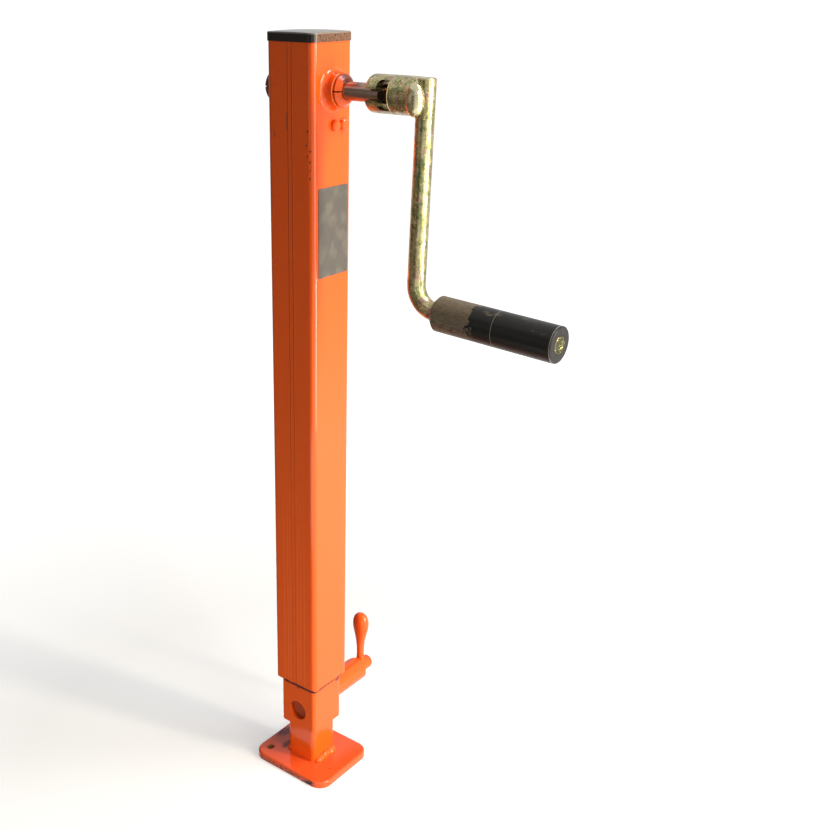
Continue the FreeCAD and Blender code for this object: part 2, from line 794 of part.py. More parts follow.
def make_spindle_stop():
    """The ring at the spindle's foot that the nut meets before it can run off."""
    ring = turned(
        "stop_ring",
        [
            (S["spindle_neck"] / 2 + S["fit"], stop_z),
            (S["spindle_shoulder"] / 2, stop_z),
            (S["spindle_shoulder"] / 2, stop_z + S["stop_thick"]),
            (S["spindle_neck"] / 2 + S["fit"], stop_z + S["stop_thick"]),
        ],
    )
    hole = cylinder(
        "stop_ring_hole", S["gear_pin"] + 2 * S["fit"], S["spindle_shoulder"] + 2.0,
        0.0, -S["spindle_shoulder"] / 2 - 1.0, stop_z + S["stop_thick"] / 2, **ALONG_Y,
    )
    return cut("spindle_stop", ring, hole)


def make_bearing_plate():
    """The plate across the tube that takes the load from the thrust bearing."""
    body = add_body("bearing_plate_blank")
    outline = add_sketch(body, "bearing_plate_outline", "XY")
    side = outer_cavity - 2 * S["fit"]
    draw_rounded(outline, side, side, outer_inner_corner + 0.5)
    pad(body, outline, S["plate_bridge"])
    hole = add_sketch(body, "bearing_plate_hole", "XY")
    draw_circle(hole, 0.0, 0.0, S["spindle_neck"] + 2 * S["fit"])
    pocket(body, hole, S["plate_bridge"] + 1.0, reverse=True)
    place(body, z=bridge_bottom)
    tools = []
    for side_name, direction in (("near", 1.0), ("far", -1.0)):
        for name, y in (("a", S["rivet_near"]), ("b", S["rivet_far"])):
            tools.append(
                cylinder(
                    f"plate_hole_{side_name}_{name}", S["rivet_side"] + 2 * S["fit"],
                    S["rivet_depth"], direction * outer_cavity / 2, y, rivet_height,
                    axis=(0, 1, 0), angle=-90.0 * direction,
                )
            )
    return cut("bearing_plate", body, *tools)


def make_bearing_rivets():
    """The rivets through both walls that hold the bearing plate, with low round heads."""
    rivets = []
    reach = S["outer_wall"] + S["rivet_depth"] - 0.5
    for side_name, direction in (("near", 1.0), ("far", -1.0)):
        for name, y in (("a", S["rivet_near"]), ("b", S["rivet_far"])):
            rivet = turned(
                f"rivet_{side_name}_{name}",
                [
                    (0.0, -reach),
                    (S["rivet_side"] / 2, -reach),
                    (S["rivet_side"] / 2, 0.0),
                    (S["rivet_head"] / 2, 0.0),
                    (S["rivet_head"] / 2, S["rivet_proud"] * 0.7),
                    (S["rivet_head"] / 2 - S["rivet_proud"] * 0.3, S["rivet_proud"]),
                    (0.0, S["rivet_proud"]),
                ],
            )
            place(
                rivet, direction * outer_half, y, rivet_height,
                axis=(0, 1, 0), angle=90.0 * direction,
            )
            rivets.append(rivet)
    return fuse("bearing_rivets", *rivets)


def make_washer(name, bore, bottom):
    """A hardened washer of the thrust bearing."""
    return turned(
        name,
        [
            (bore / 2, bottom),
            (S["bearing_side"] / 2, bottom),
            (S["bearing_side"] / 2, bottom + S["washer_thick"]),
            (bore / 2, bottom + S["washer_thick"]),
        ],
    )


def make_ball_cage():
    """The ring that spaces the bearing balls."""
    middle = lower_washer_top + ball_gap / 2
    blank = turned(
        "cage_blank",
        [
            (S["spindle_neck"] / 2 + 0.6, middle - S["cage_thick"] / 2),
            (S["bearing_side"] / 2 - 0.2, middle - S["cage_thick"] / 2),
            (S["bearing_side"] / 2 - 0.2, middle + S["cage_thick"] / 2),
            (S["spindle_neck"] / 2 + 0.6, middle + S["cage_thick"] / 2),
        ],
    )
    pocket_side = S["ball_side"] + 2 * S["fit"]
    holes = [
        cylinder(f"cage_hole_{i}", pocket_side, S["cage_thick"] + 2.0, x, y,
                 middle - S["cage_thick"] / 2 - 1.0)
        for i, (x, y) in enumerate(ball_places())
    ]
    return cut("ball_cage", blank, fuse("cage_holes", *holes))


def ball_places():
    """Where the balls stand around the spindle, as sizes from its axis."""
    count = int(SIZES["ball_count"])
    turns = [2 * math.pi * i / count for i in range(count)]
    return [
        (S["ball_ring"] / 2 * math.cos(a), S["ball_ring"] / 2 * math.sin(a)) for a in turns
    ]


def make_thrust_balls():
    """The balls of the thrust bearing."""
    balls = []
    for i, (x, y) in enumerate(ball_places()):
        ball = doc.addObject("Part::Sphere", f"ball_{i}")
        bind(ball, "Radius", S["ball_side"] / 2)
        balls.append(place(ball, x, y, lower_washer_top + ball_gap / 2))
    return fuse("thrust_balls", *balls)


def make_inner_tube():
    """The tube that the screw moves: a window on one side, the lock pin's hole on the other."""
    body = square_tube("inner_tube", inner_side, S["inner_corner"], inner_length)
    hollow(body, inner_cavity, inner_inner_corner, inner_length)
    lock_z = S["lock_height"] - S["inner_bottom"]
    window = add_sketch(body, "lock_window", "XZ")
    draw_circle(window, 0.0, lock_z, S["window_side"])
    pocket(body, window, inner_side, reverse=True)
    lock_hole = add_sketch(body, "inner_lock_hole", "XZ")
    draw_circle(lock_hole, 0.0, lock_z, 2 * lock_bore)
    pocket(body, lock_hole, inner_side)
    dowels = add_sketch(body, "dowel_holes", "YZ")
    nut_middle = inner_length - S["nut_length"] / 2
    draw_circle(dowels, 0.0, nut_middle, S["dowel_side"] + 2 * S["fit"])
    pocket(body, dowels, inner_side + 2.0, middle=True)
    return place(body, z=S["inner_bottom"])


def make_spindle_nut():
    """The square nut, flush with the inner tube's top."""
    body = add_body("nut_blank")
    outline = add_sketch(body, "nut_outline", "XY")
    side = inner_cavity - 2 * S["fit"]
    draw_rounded(outline, side, side, inner_inner_corner + 0.4)
    pad(body, outline, S["nut_length"])
    bore = add_sketch(body, "nut_bore", "XY")
    draw_circle(bore, 0.0, 0.0, S["spindle_side"] + 2 * S["fit"])
    pocket(body, bore, S["nut_length"] + 1.0, reverse=True)
    place(body, z=nut_bottom)
    tools = []
    for name, direction in (("near", 1.0), ("far", -1.0)):
        tools.append(
            cylinder(
                f"nut_hole_{name}", S["dowel_side"] + 2 * S["fit"], S["dowel_length"],
                direction * inner_half, 0.0, nut_bottom + S["nut_length"] / 2,
                axis=(0, 1, 0), angle=-90.0 * direction,
            )
        )
    return cut("spindle_nut", body, *tools)


def make_nut_dowels():
    """The two plugs that hold the nut in the inner tube."""
    dowels = []
    for name, direction in (("near", 1.0), ("far", -1.0)):
        dowels.append(
            cylinder(
                f"dowel_{name}", S["dowel_side"], S["dowel_length"] - 0.4,
                direction * (inner_half - 0.2), 0.0, nut_bottom + S["nut_length"] / 2,
                axis=(0, 1, 0), angle=-90.0 * direction,
            )
        )
    return fuse("nut_dowels", *dowels)


def make_drop_leg():
    """The innermost tube, with a row of holes in the wall that faces the lock."""
    body = square_tube("drop_leg", leg_side, S["leg_corner"], S["leg_length"])
    hollow(body, leg_cavity, leg_inner_corner, S["leg_length"])
    hole = add_sketch(body, "leg_hole", "XZ")
    draw_circle(hole, 0.0, S["lock_height"] - S["plate_thick"], S["lock_side"] + 0.6)
    first = pocket(body, hole, leg_side)
    row = body.newObject("PartDesign::LinearPattern", "leg_holes")
    row.Originals = [first]
    row.Direction = (hole, ["V_Axis"])
    bind(row, "Length", S["hole_pitch"] * (S["hole_count"] - 1.0))
    bind(row, "Occurrences", S["hole_count"])
    body.Tip = row
    doc.recompute()
    return place(body, z=S["plate_thick"])


def make_foot_plate():
    """The foot plate, with round corners and one corner hole."""
    body = add_body("foot_plate")
    outline = add_sketch(body, "foot_outline", "XY")
    draw_rounded(outline, S["plate_long"], S["plate_wide"], S["plate_corner"])
    slab = pad(body, outline, S["plate_thick"])
    height = number(S["plate_thick"])
    soften(body, slab, lambda e: near_height(e, height), S["plate_round"])
    hole = add_sketch(body, "foot_hole", "XY")
    draw_circle(
        hole, S["plate_hole_from_end"] - S["plate_long"] / 2,
        S["plate_hole_from_side"] - S["plate_wide"] / 2, S["plate_hole"],
    )
    pocket(body, hole, S["plate_thick"] + 1.0, reverse=True)
    return body


def make_foot_welds():
    """The fillet welds on the two sides of the leg."""
    beads = []
    for name, direction, turn in (("near", 1.0, 0.0), ("far", -1.0, 90.0)):
        bead = doc.addObject("Part::Cylinder", f"foot_bead_{name}")
        bind(bead, "Radius", S["foot_weld"])
        bind(bead, "Height", S["foot_weld_length"])
        bead.Angle = 90.0
        laid = Rotation(Vector(1, 0, 0), 90.0).multiply(Rotation(Vector(0, 0, 1), turn))
        place(bead, direction * leg_half, S["foot_weld_length"] / 2, S["plate_thick"])
        bead.Placement = Placement(bead.Placement.Base, laid)
        beads.append(bead)
    return fuse("foot_welds", *beads)


def make_lock_housing():
    """The round housing of the lock, with a quarter-turn ramp cut into its end for the lever."""
    barrel = turned(
        "housing_barrel",
        [
            (lock_bore, inner_half),
            (S["housing_side"] / 2, inner_half),
            (S["housing_side"] / 2, housing_end - 1.0),
            (S["housing_side"] / 2 - 1.0, housing_end),
            (knuckle_bore_radius, housing_end),
            (knuckle_bore_radius, guide_end),
            (S["rod_side"] / 2 + S["fit"], guide_end),
            (S["rod_side"] / 2 + S["fit"], guide_start),
            (lock_bore, guide_start),
        ],
    )
    place(barrel, z=S["lock_height"], **ALONG_Y)
    return cut("lock_housing", barrel, *make_cam_slot())


def make_cam_slot():
    """The helical slot for the lever's stem, which turns a quarter as it draws in, and its end.

    The slot is as wide as the stem and its play, measured square to the helix, and begins before
    the top so that the stem's trailing side is clear of the rim.
    """
    width = number(S["lever_stem"] / 2 + S["lever_play"])
    middle = number(S["housing_side"] + S["knuckle_side"]) / 4
    inside = number(S["knuckle_side"]) / 2 - 1.5
    outside = number(S["housing_side"]) / 2 + 2.0
    travel, lead_in = number(S["lock_travel"]), 35.0
    lead = 4 * travel
    height = lead * (90 + lead_in) / 360
    slope = math.atan2(lead, 2 * math.pi * middle)
    across, along = width * math.sin(slope), width * math.cos(slope)
    helix = Part.makeHelix(lead, height, middle)
    ring = Part.makePolygon([
        Vector(inside, across, -along),
        Vector(outside, across, -along),
        Vector(outside, -across, along),
        Vector(inside, -across, along),
        Vector(inside, across, -along),
    ])
    pipe = Part.BRepOffsetAPI.MakePipeShell(Part.Wire(helix.Edges))
    pipe.setFrenetMode(True)
    pipe.add(ring)
    pipe.build()
    pipe.makeSolid()
    slot = pipe.shape()
    slot.translate(Vector(0, 0, travel - height))
    slot.rotate(Vector(), Vector(0, 0, 1), -lead_in)
    thing = doc.addObject("Part::Feature", "cam_slot")
    thing.Shape = slot
    # the slot's own X points up, its Y to -X and its Z back along the housing
    thing.Placement = Placement(
        Vector(0, number(lever_y), number(S["lock_height"])),
        Rotation(Vector(0, 0, 1), Vector(-1, 0, 0), Vector(0, -1, 0), "XYZ"),
    )
    end = cylinder(
        "cam_slot_end", S["lever_stem"] + 2 * S["lever_play"], S["housing_side"],
        0.0, lever_y - S["lock_travel"], S["lock_height"], axis=(0, 1, 0), angle=-90.0,
    )
    return thing, end


def make_housing_weld():
    """The weld bead around the housing where it meets the inner tube."""
    bead = turned(
        "housing_weld",
        [
            (S["housing_side"] / 2 + 0.01, inner_half),
            (S["housing_side"] / 2 + S["weld_leg"], inner_half),
            (S["housing_side"] / 2 + S["weld_leg"] * 0.65, inner_half + S["weld_leg"] * 0.65),
            (S["housing_side"] / 2 + 0.01, inner_half + S["weld_leg"]),
        ],
    )
    return place(bead, z=S["lock_height"], **ALONG_Y)


def make_lock_pin():
    """The lock pin, drawn back clear of the drop leg, with its rod riveted over the knuckle."""
    body = turned(
        "lock_pin",
        [
            (0.0, lock_tip),
            (S["lock_side"] / 2 - 1.5, lock_tip),
            (S["lock_side"] / 2, lock_tip + 1.5),
            (S["lock_side"] / 2, lock_head_end),
            (S["rod_side"] / 2, lock_head_end),
            (S["rod_side"] / 2, knuckle_start - 0.2),
            (S["rod_end_side"] / 2, knuckle_start - 0.2),
            (S["rod_end_side"] / 2, knuckle_end + 0.2),
            (S["rivet_dome"] / 2, knuckle_end + 0.2),
            (S["rivet_dome"] / 2, knuckle_end + 0.2 + S["dome_thick"] * 0.3),
            (S["rivet_dome"] / 2 - 2.4, knuckle_end + 0.2 + S["dome_thick"]),
            (0.0, knuckle_end + 0.2 + S["dome_thick"]),
        ],
    )
    return place(body, z=S["lock_height"], **ALONG_Y)


def make_lock_spring():
    """The compression spring between the pin's head and the housing's guide."""
    wire = number(S["spring_wire"]) / 2
    start = number(lock_head_end) + wire + 0.2
    end = number(guide_start) - wire - 0.2
    turns = int(SIZES["spring_turns"])
    middle = number(S["rod_side"] / 2 + lock_bore) / 2
    helix = Part.makeHelix((end - start) / turns, end - start, middle)
    section = Part.makeCircle(wire, Vector(middle, 0, 0), Vector(0, 1, 0))
    pipe = Part.BRepOffsetAPI.MakePipeShell(Part.Wire(helix.Edges))
    pipe.setFrenetMode(True)
    pipe.add(Part.Wire([section]))
    pipe.build()
    pipe.makeSolid()
    shape = pipe.shape()
    thing = doc.addObject("Part::Feature", "lock_spring")
    thing.Shape = shape
    thing.Placement = Placement(
        Vector(0, start, number(S["lock_height"])), Rotation(Vector(1, 0, 0), -90)
    )
    return thing


def make_lock_knuckle():
    """The knuckle that turns on the lock pin's rod and carries the lever."""
    body = turned(
        "knuckle_blank",
        [
            (S["rod_end_side"] / 2 + S["fit"], knuckle_start),
            (S["knuckle_side"] / 2, knuckle_start),
            (S["knuckle_side"] / 2, knuckle_end - 1.5),
            (S["knuckle_side"] / 2 - 1.5, knuckle_end),
            (S["rod_end_side"] / 2 + S["fit"], knuckle_end),
        ],
    )
    place(body, z=S["lock_height"], **ALONG_Y)
    hole = cylinder(
        "knuckle_hole", S["lever_tenon"] + 2 * S["fit"], S["knuckle_side"],
        0.0, lever_y, S["lock_height"],
    )
    return cut("lock_knuckle", body, hole)


def make_lock_lever():
    """The lever: a round stem that swells into a long drop, screwed into the knuckle."""
    stem = S["lever_stem"] / 2
    sections = [
        (0.08, stem * 1.05, stem * 1.05),
        (0.30, stem * 0.94, stem * 0.94),
        (0.46, stem * 1.12, stem * 1.08),
        (0.66, S["lever_broad"] * 0.42, S["lever_thick"] * 0.42),
        (0.84, S["lever_broad"] * 0.50, S["lever_thick"] * 0.50),
        (0.95, S["lever_broad"] * 0.38, S["lever_thick"] * 0.38),
        (1.00, S["lever_broad"] * 0.12, S["lever_thick"] * 0.12),
    ]
    rings = []
    for i, (share, broad, thick) in enumerate(sections):
        ring = doc.addObject("Part::Ellipse", f"lever_ring_{i}")
        bind(ring, "MajorRadius", broad + 0.001)
        bind(ring, "MinorRadius", thick)
        rings.append(place(ring, 0.0, lever_y, S["lock_height"] + S["lever_reach"] * share))
    drop = doc.addObject("Part::Loft", "lever_drop")
    drop.Sections = rings
    drop.Solid = True
    knuckle_space = cylinder(
        "lever_seat", S["knuckle_side"] + 0.1, 3 * S["lever_stem"],
        0.0, lever_y - 1.5 * S["lever_stem"], S["lock_height"], **ALONG_Y,
    )
    seated = cut("lever_seated", drop, knuckle_space)
    tenon_start = S["rod_end_side"] / 2 + 0.4
    tenon = cylinder(
        "lever_tenon_bar", S["lever_tenon"], S["knuckle_side"] / 2 + 1.0 - tenon_start,
        0.0, lever_y, S["lock_height"] + tenon_start,
    )
    return fuse("lock_lever", seated, tenon)


def make_crank_hub():
    """The crank's hub: a blind sleeve with T slots that lock on the shaft's cross pin."""
    start = S["hub_start"]
    radius = S["hub_side"] / 2
    bore = S["shaft_bore"] / 2 + S["hub_bore_play"]
    body = add_body("hub_blank")
    profile = add_sketch(body, "hub_profile", "XZ")
    end = S["arm_x"] - S["arm_side"] / 2 + S["hub_saddle"] - start
    draw_polygon(
        profile,
        [
            (bore, 0.0),
            (radius, 0.0),
            (radius, end),
            (0.0, end),
            (0.0, S["hub_bore_depth"]),
            (bore, S["hub_bore_depth"]),
        ],
    )
    turn = body.newObject("PartDesign::Revolution", "hub_turn")
    turn.Profile = profile
    turn.ReferenceAxis = (profile, ["V_Axis"])
    turn.Angle = 360.0
    outer = number(radius)
    soften(body, turn, lambda e: is_circle(e, outer, 2, 0.0), S["hub_round"])
    # the body's X is up once it is laid along X, so a T on the XZ plane cuts along Y
    tee = add_sketch(body, "hub_tee", "XZ")
    stem, wing = S["slot_stem"] / 2, S["slot_wing"] / 2
    draw_polygon(
        tee,
        [
            (-stem, -1.0),
            (stem, -1.0),
            (stem, S["slot_neck"]),
            (wing, S["slot_neck"]),
            (wing, slot_end),
            (-wing, slot_end),
            (-wing, S["slot_neck"]),
            (-stem, S["slot_neck"]),
        ],
    )
    slots = pocket(body, tee, S["hub_side"] + 2.0, middle=True)
    half = number(wing)
    for height, round_ in ((S["slot_neck"], "slot_round"), (slot_end, "slot_small_round")):
        level = number(height)
        slots = soften(body, slots, lambda e: is_tip(e, half, level), S[round_])
    place(body, x=start, z=shaft_height, **ALONG_X)
    saddle = cylinder("hub_saddle", S["arm_side"] + 0.02, 80.0)
    place(saddle, axis=(0, 1, 0), angle=SIZES["arm_lean"])
    spot = saddle.Placement.Rotation.multVec(Vector(0, 0, -40))
    place(
        saddle, S["arm_x"] + spot.x, 0.0, shaft_height + spot.z,
        (0, 1, 0), SIZES["arm_lean"],
    )
    return cut("crank_hub", body, saddle)


def make_crank_pin():
    """The cross pin in the shaft, on which the crank's T slots hang."""
    length = S["cross_pin_length"]
    body = turned(
        "crank_pin",
        [
            (0.0, -length / 2),
            (S["cross_pin"] / 2 - 0.8, -length / 2),
            (S["cross_pin"] / 2, 0.8 - length / 2),
            (S["cross_pin"] / 2, length / 2 - 0.8),
            (S["cross_pin"] / 2 - 0.8, length / 2),
            (0.0, length / 2),
        ],
    )
    return place(body, x=pin_x, z=shaft_height, **ALONG_Y)


def make_crank_arm():
    """The crank's bent rod: an arm across the hub, a bend, and a thinner spindle in the grip.

    Its own frame has the arm along Z through the hub's axis; the placement leans it.
    """
    throw, bend = number(S["arm_throw"]), number(S["arm_bend"])
    droop = math.radians(SIZES["grip_droop"] - SIZES["arm_lean"])
    body = add_body("arm_rod")
    route = add_sketch(body, "arm_route", "XZ")
    back = bend * math.tan((math.pi / 2 - droop) / 2)
    top = Vector(0, number(S["arm_top"]), 0)
    knee = Vector(0, -throw, 0)
    along = Vector(math.cos(droop), -math.sin(droop), 0)
    low = knee + Vector(0, back, 0)
    centre = low + Vector(bend, 0, 0)
    after = knee + along * back
    shoulder = knee + along * number(S["grip_start"])
    route.addGeometry(Part.LineSegment(top, low), False)
    sweep = math.pi / 2 - droop
    arc = Part.ArcOfCircle(Part.Circle(centre, Vector(0, 0, 1), bend), math.pi, math.pi + sweep)
    route.addGeometry(arc, False)
    route.addGeometry(Part.LineSegment(after, shoulder), False)
    route.addConstraint(Sketcher.Constraint("Tangent", 0, 2, 1, 1))
    route.addConstraint(Sketcher.Constraint("Tangent", 1, 2, 2, 1))
    route.addConstraint(Sketcher.Constraint("Vertical", 0))
    datum(route, "DistanceX", -1, 1, 0, 1, size=0.0)
    datum(route, "DistanceY", -1, 1, 0, 1, size=S["arm_top"])
    datum(route, "Radius", 1, size=S["arm_bend"])
    datum(route, "DistanceX", -1, 1, 2, 2, size=shoulder.x)
    datum(route, "DistanceY", -1, 1, 2, 2, size=shoulder.y)
    section = add_sketch(body, "arm_section", "XY", S["arm_top"])
    draw_circle(section, 0.0, 0.0, S["arm_side"])
    pipe = body.newObject("PartDesign::AdditivePipe", "arm_pipe")
    pipe.Profile = section
    pipe.Spine = (route, ["Edge1", "Edge2", "Edge3"])
    doc.recompute()
    top_z = number(S["arm_top"])
    soften(body, pipe, lambda e: near_height(e, top_z), S["arm_side"] * 0.06, "Chamfer")
    place(body, x=S["arm_x"], z=shaft_height, axis=(0, 1, 0), angle=SIZES["arm_lean"])
    spindle = cylinder("grip_spindle_bar", S["grip_spindle"], S["grip_length"] - 1.5)
    lay_on_grip(spindle, 0.0)
    return fuse("crank_arm", body, spindle)


def grip_frame():
    """Where the grip begins and which way it points, once the arm leans."""
    lean, droop = math.radians(SIZES["arm_lean"]), math.radians(SIZES["grip_droop"])
    knee_x = SIZES["arm_x"] - SIZES["arm_throw"] * math.sin(lean)
    knee_z = number(shaft_height) - SIZES["arm_throw"] * math.cos(lean)
    along = Vector(math.cos(droop), 0, -math.sin(droop))
    return Vector(knee_x, 0, knee_z) + along * SIZES["grip_start"], along


def lay_on_grip(thing, offset):
    """Puts something that was drawn along Z on the grip's axis, offset from its start."""
    start, along = grip_frame()
    thing.Placement = Placement(
        start + along * offset, Rotation(Vector(0, 1, 0), 90.0 + SIZES["grip_droop"])
    )
    return thing


def make_crank_welds():
    """The weld beads between the arm and the hub: a long lens of metal on each side."""
    arm = cylinder("bead_arm_space", S["arm_side"] + 0.02, 120.0)
    tilt = Rotation(Vector(0, 1, 0), SIZES["arm_lean"])
    spot = tilt.multVec(Vector(0, 0, -60))
    place(arm, S["arm_x"] + spot.x, 0.0, shaft_height + spot.z, (0, 1, 0), SIZES["arm_lean"])
    hub = cylinder(
        "bead_hub_space", S["hub_side"] + 0.02,
        S["arm_x"] - S["arm_side"] / 2 + S["hub_saddle"] + 0.01 - S["hub_start"],
        S["hub_start"], 0.0, shaft_height, **ALONG_X,
    )
    # both are taken away at once, because a lens that is cut twice reads back inside out
    taken = fuse("bead_space", arm, hub)
    beads = []
    for name, direction in (("front", -1.0), ("back", 1.0)):
        bead = doc.addObject("Part::Ellipsoid", f"crank_lens_{name}")
        bind(bead, "Radius1", S["crank_weld_high"] / 2)
        bind(bead, "Radius2", S["crank_weld_long"] / 2)
        bind(bead, "Radius3", S["crank_weld_deep"] / 2)
        place(
            bead, S["arm_x"] - S["arm_side"] * 0.233, direction * S["hub_side"] * 0.333,
            shaft_height - 2.0,
        )
        beads.append(cut(f"crank_bead_{name}", bead, taken))
    return fuse("crank_welds", *beads)


def make_crank_grip():
    """The plastic grip, which turns on the crank's spindle."""
    bore = S["grip_spindle"] / 2 + S["fit"]
    side, length = S["grip_side"] / 2, S["grip_length"]
    body = turned(
        "crank_grip",
        [
            (bore, 0.3),
            (side - S["grip_chamfer"], 0.3),
            (side, S["grip_chamfer"] + 0.3),
            (side, length - 0.8),
            (side - 0.8, length),
            (S["grip_cap_side"] / 2 + 0.3, length),
            (S["grip_cap_side"] / 2 + 0.3, length - S["grip_cap_depth"] - 0.3),
            (bore, length - S["grip_cap_depth"] - 0.3),
        ],
    )
    return lay_on_grip(body, 0.0)


def make_grip_cap():
    """The pressed cap on the spindle's end that keeps the grip on, dished in the middle."""
    length = S["grip_length"]
    side, post = S["grip_cap_side"] / 2, S["grip_spindle"] / 2
    body = turned(
        "grip_cap",
        [
            (post, length - S["grip_cap_depth"]),
            (side, length - S["grip_cap_depth"]),
            (side, length - 0.2),
            (side - 0.8, length + 0.4),
            (post - 0.6, length + 0.4),
            (post - 2.2, length - 0.6),
            (0.0, length - 0.6),
            (0.0, length - 1.4),
            (post, length - 1.4),
        ],
    )
    return lay_on_grip(body, 0.0)


def make_type_plate():
    """The bare type plate on the crank side."""
    body = add_body("type_plate")
    outline = add_sketch(body, "type_plate_outline", "XY")
    draw_rounded(outline, S["label_long"], S["label_wide"], S["label_corner"])
    pad(body, outline, S["label_thick"])
    return place(
        body, outer_half, S["label_shift"], label_middle, (0, 1, 0), 90.0
    )


def make_all():
    """Every sub-part, by its node's name."""
    parts = {
        "outer_tube": make_outer_tube(),
        "top_cap": make_top_cap(),
        "bush_crank_side": make_bush("bush_crank_side", S["shaft_bore"], 1.0),
        "bush_far_side": make_bush("bush_far_side", S["shaft_step"], -1.0),
        "drive_shaft": make_drive_shaft(),
        "shaft_circlip": make_shaft_circlip(),
        "bevel_pinion": make_bevel_pinion(),
        "pinion_pin": make_gear_pin(
            "pinion_pin", S["pinion_hub"] - 0.5, pinion_pin_x, shaft_height
        ),
        "bevel_wheel": make_bevel_wheel(),
        "wheel_pin": make_gear_pin("wheel_pin", S["wheel_hub"] - 0.5, 0.0, wheel_pin_z),
        "lifting_spindle": make_lifting_spindle(),
        "spindle_stop": make_spindle_stop(),
        "stop_pin": make_gear_pin(
            "stop_pin", S["spindle_shoulder"] - 1.0, 0.0, stop_z + S["stop_thick"] / 2
        ),
        "bearing_plate": make_bearing_plate(),
        "bearing_rivets": make_bearing_rivets(),
        "thrust_washer_upper": make_washer(
            "thrust_washer_upper", S["spindle_neck"] + 1.0, upper_washer_bottom
        ),
        "thrust_washer_lower": make_washer(
            "thrust_washer_lower", S["spindle_neck"] + 2 * S["fit"], shoulder_top
        ),
        "ball_cage": make_ball_cage(),
        "thrust_balls": make_thrust_balls(),
        "inner_tube": make_inner_tube(),
        "spindle_nut": make_spindle_nut(),
        "nut_dowels": make_nut_dowels(),
        "drop_leg": make_drop_leg(),
        "foot_plate": make_foot_plate(),
        "foot_welds": make_foot_welds(),
        "lock_housing": make_lock_housing(),
        "housing_weld": make_housing_weld(),
        "lock_pin": make_lock_pin(),
        "lock_spring": make_lock_spring(),
        "lock_knuckle": make_lock_knuckle(),
        "lock_lever": make_lock_lever(),
        "crank_hub": make_crank_hub(),
        "crank_pin": make_crank_pin(),
        "crank_arm": make_crank_arm(),
        "crank_welds": make_crank_welds(),
        "crank_grip": make_crank_grip(),
        "grip_cap": make_grip_cap(),
        "type_plate": make_type_plate(),
    }
    for name, part in parts.items():
        part.Label = name
    return parts


def check_and_write(parts):
    """Checks that nothing failed, and writes one file for each sub-part."""
    doc.recompute()
    failed = [x.Name for x in doc.Objects if {"Invalid", "Error"} & set(x.State)]
    if failed:
        raise RuntimeError(f"these objects failed: {failed}")
    for name, part in parts.items():
        if part.Shape.isNull() or not part.Shape.isValid() or not part.Shape.Solids:
            raise RuntimeError(f"{name} has no valid solid")
    os.makedirs("parts", exist_ok=True)
    for name, part in parts.items():
        part.Shape.exportStep(f"parts/{name}.step")


check_and_write(make_all())
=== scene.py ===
"""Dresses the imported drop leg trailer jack: finishes, weld beads, studio light and camera.

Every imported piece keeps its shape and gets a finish, and the three weld nodes are drawn again
with the skin of a weld. Names that end in _mm are millimetres on the frame's own axes: the crank
stands at +X, the lock at +Y, and Z is up. All other lengths are metres.
"""

from __future__ import annotations

import logging
import math
from collections.abc import Iterator
from dataclasses import dataclass
from enum import Enum

import bmesh
import bpy
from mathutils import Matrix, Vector

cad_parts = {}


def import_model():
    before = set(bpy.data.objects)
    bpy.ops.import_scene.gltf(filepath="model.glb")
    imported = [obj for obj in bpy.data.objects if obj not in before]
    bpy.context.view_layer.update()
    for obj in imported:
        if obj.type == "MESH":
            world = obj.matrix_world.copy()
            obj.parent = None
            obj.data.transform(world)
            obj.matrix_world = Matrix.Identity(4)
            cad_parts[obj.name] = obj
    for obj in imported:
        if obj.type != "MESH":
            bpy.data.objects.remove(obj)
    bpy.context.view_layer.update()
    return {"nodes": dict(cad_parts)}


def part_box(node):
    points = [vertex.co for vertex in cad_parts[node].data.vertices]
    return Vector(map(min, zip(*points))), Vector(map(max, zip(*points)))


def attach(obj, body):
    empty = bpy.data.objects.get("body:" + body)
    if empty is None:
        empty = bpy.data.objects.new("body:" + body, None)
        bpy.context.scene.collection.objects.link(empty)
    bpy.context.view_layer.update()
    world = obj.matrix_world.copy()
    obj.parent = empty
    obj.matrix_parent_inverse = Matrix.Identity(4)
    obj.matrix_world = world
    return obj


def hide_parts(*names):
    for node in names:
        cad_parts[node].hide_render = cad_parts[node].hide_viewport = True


LOG = logging.getLogger("trailer_jack")
MM = 0.001
WHITE = "FFFFFF"

Socket = bpy.types.NodeSocket
Tree = bpy.types.NodeTree
Inputs = dict[str | int, object]
Pair = tuple[float, float]
Triple = tuple[float, float, float]


def linear(hex_code: str) -> tuple[float, float, float, float]:
    """Turns an sRGB hex colour to the linear values that Blender's shaders work in.

    Args:
        hex_code: six hex digits, such as "ED6129".

    Returns:
        Red, green, blue and an alpha of 1.
    """
    parts = [int(hex_code[i : i + 2], 16) / 255 for i in (0, 2, 4)]
    red, green, blue = (p / 12.92 if p <= 0.04045 else ((p + 0.055) / 1.055) ** 2.4 for p in parts)
    return red, green, blue, 1.0


def feed(tree: Tree, node: bpy.types.Node, inputs: Inputs) -> None:
    """Fills or links the inputs of a node.

    Args:
        tree: the shader or geometry tree that the node is in.
        node: the node.
        inputs: what each input gets, by its name or place: a socket to link or a plain value.
    """
    for key, value in inputs.items():
        if isinstance(value, Socket):
            tree.links.new(value, node.inputs[key])
        else:
            node.inputs[key].default_value = value


def add(
    tree: Tree, kind: str, inputs: Inputs | None = None, **settings: object
) -> bpy.types.NodeOutputs:
    """Adds one node with its settings, and fills or links its inputs.

    Args:
        tree: the shader or geometry tree.
        kind: Blender's name of the node's type.
        inputs: what each input gets, as feed() takes it.
        **settings: the node's own properties.

    Returns:
        The new node's outputs.
    """
    made = tree.nodes.new(kind)
    for name, value in settings.items():
        setattr(made, name, value)
    feed(tree, made, inputs or {})
    return made.outputs


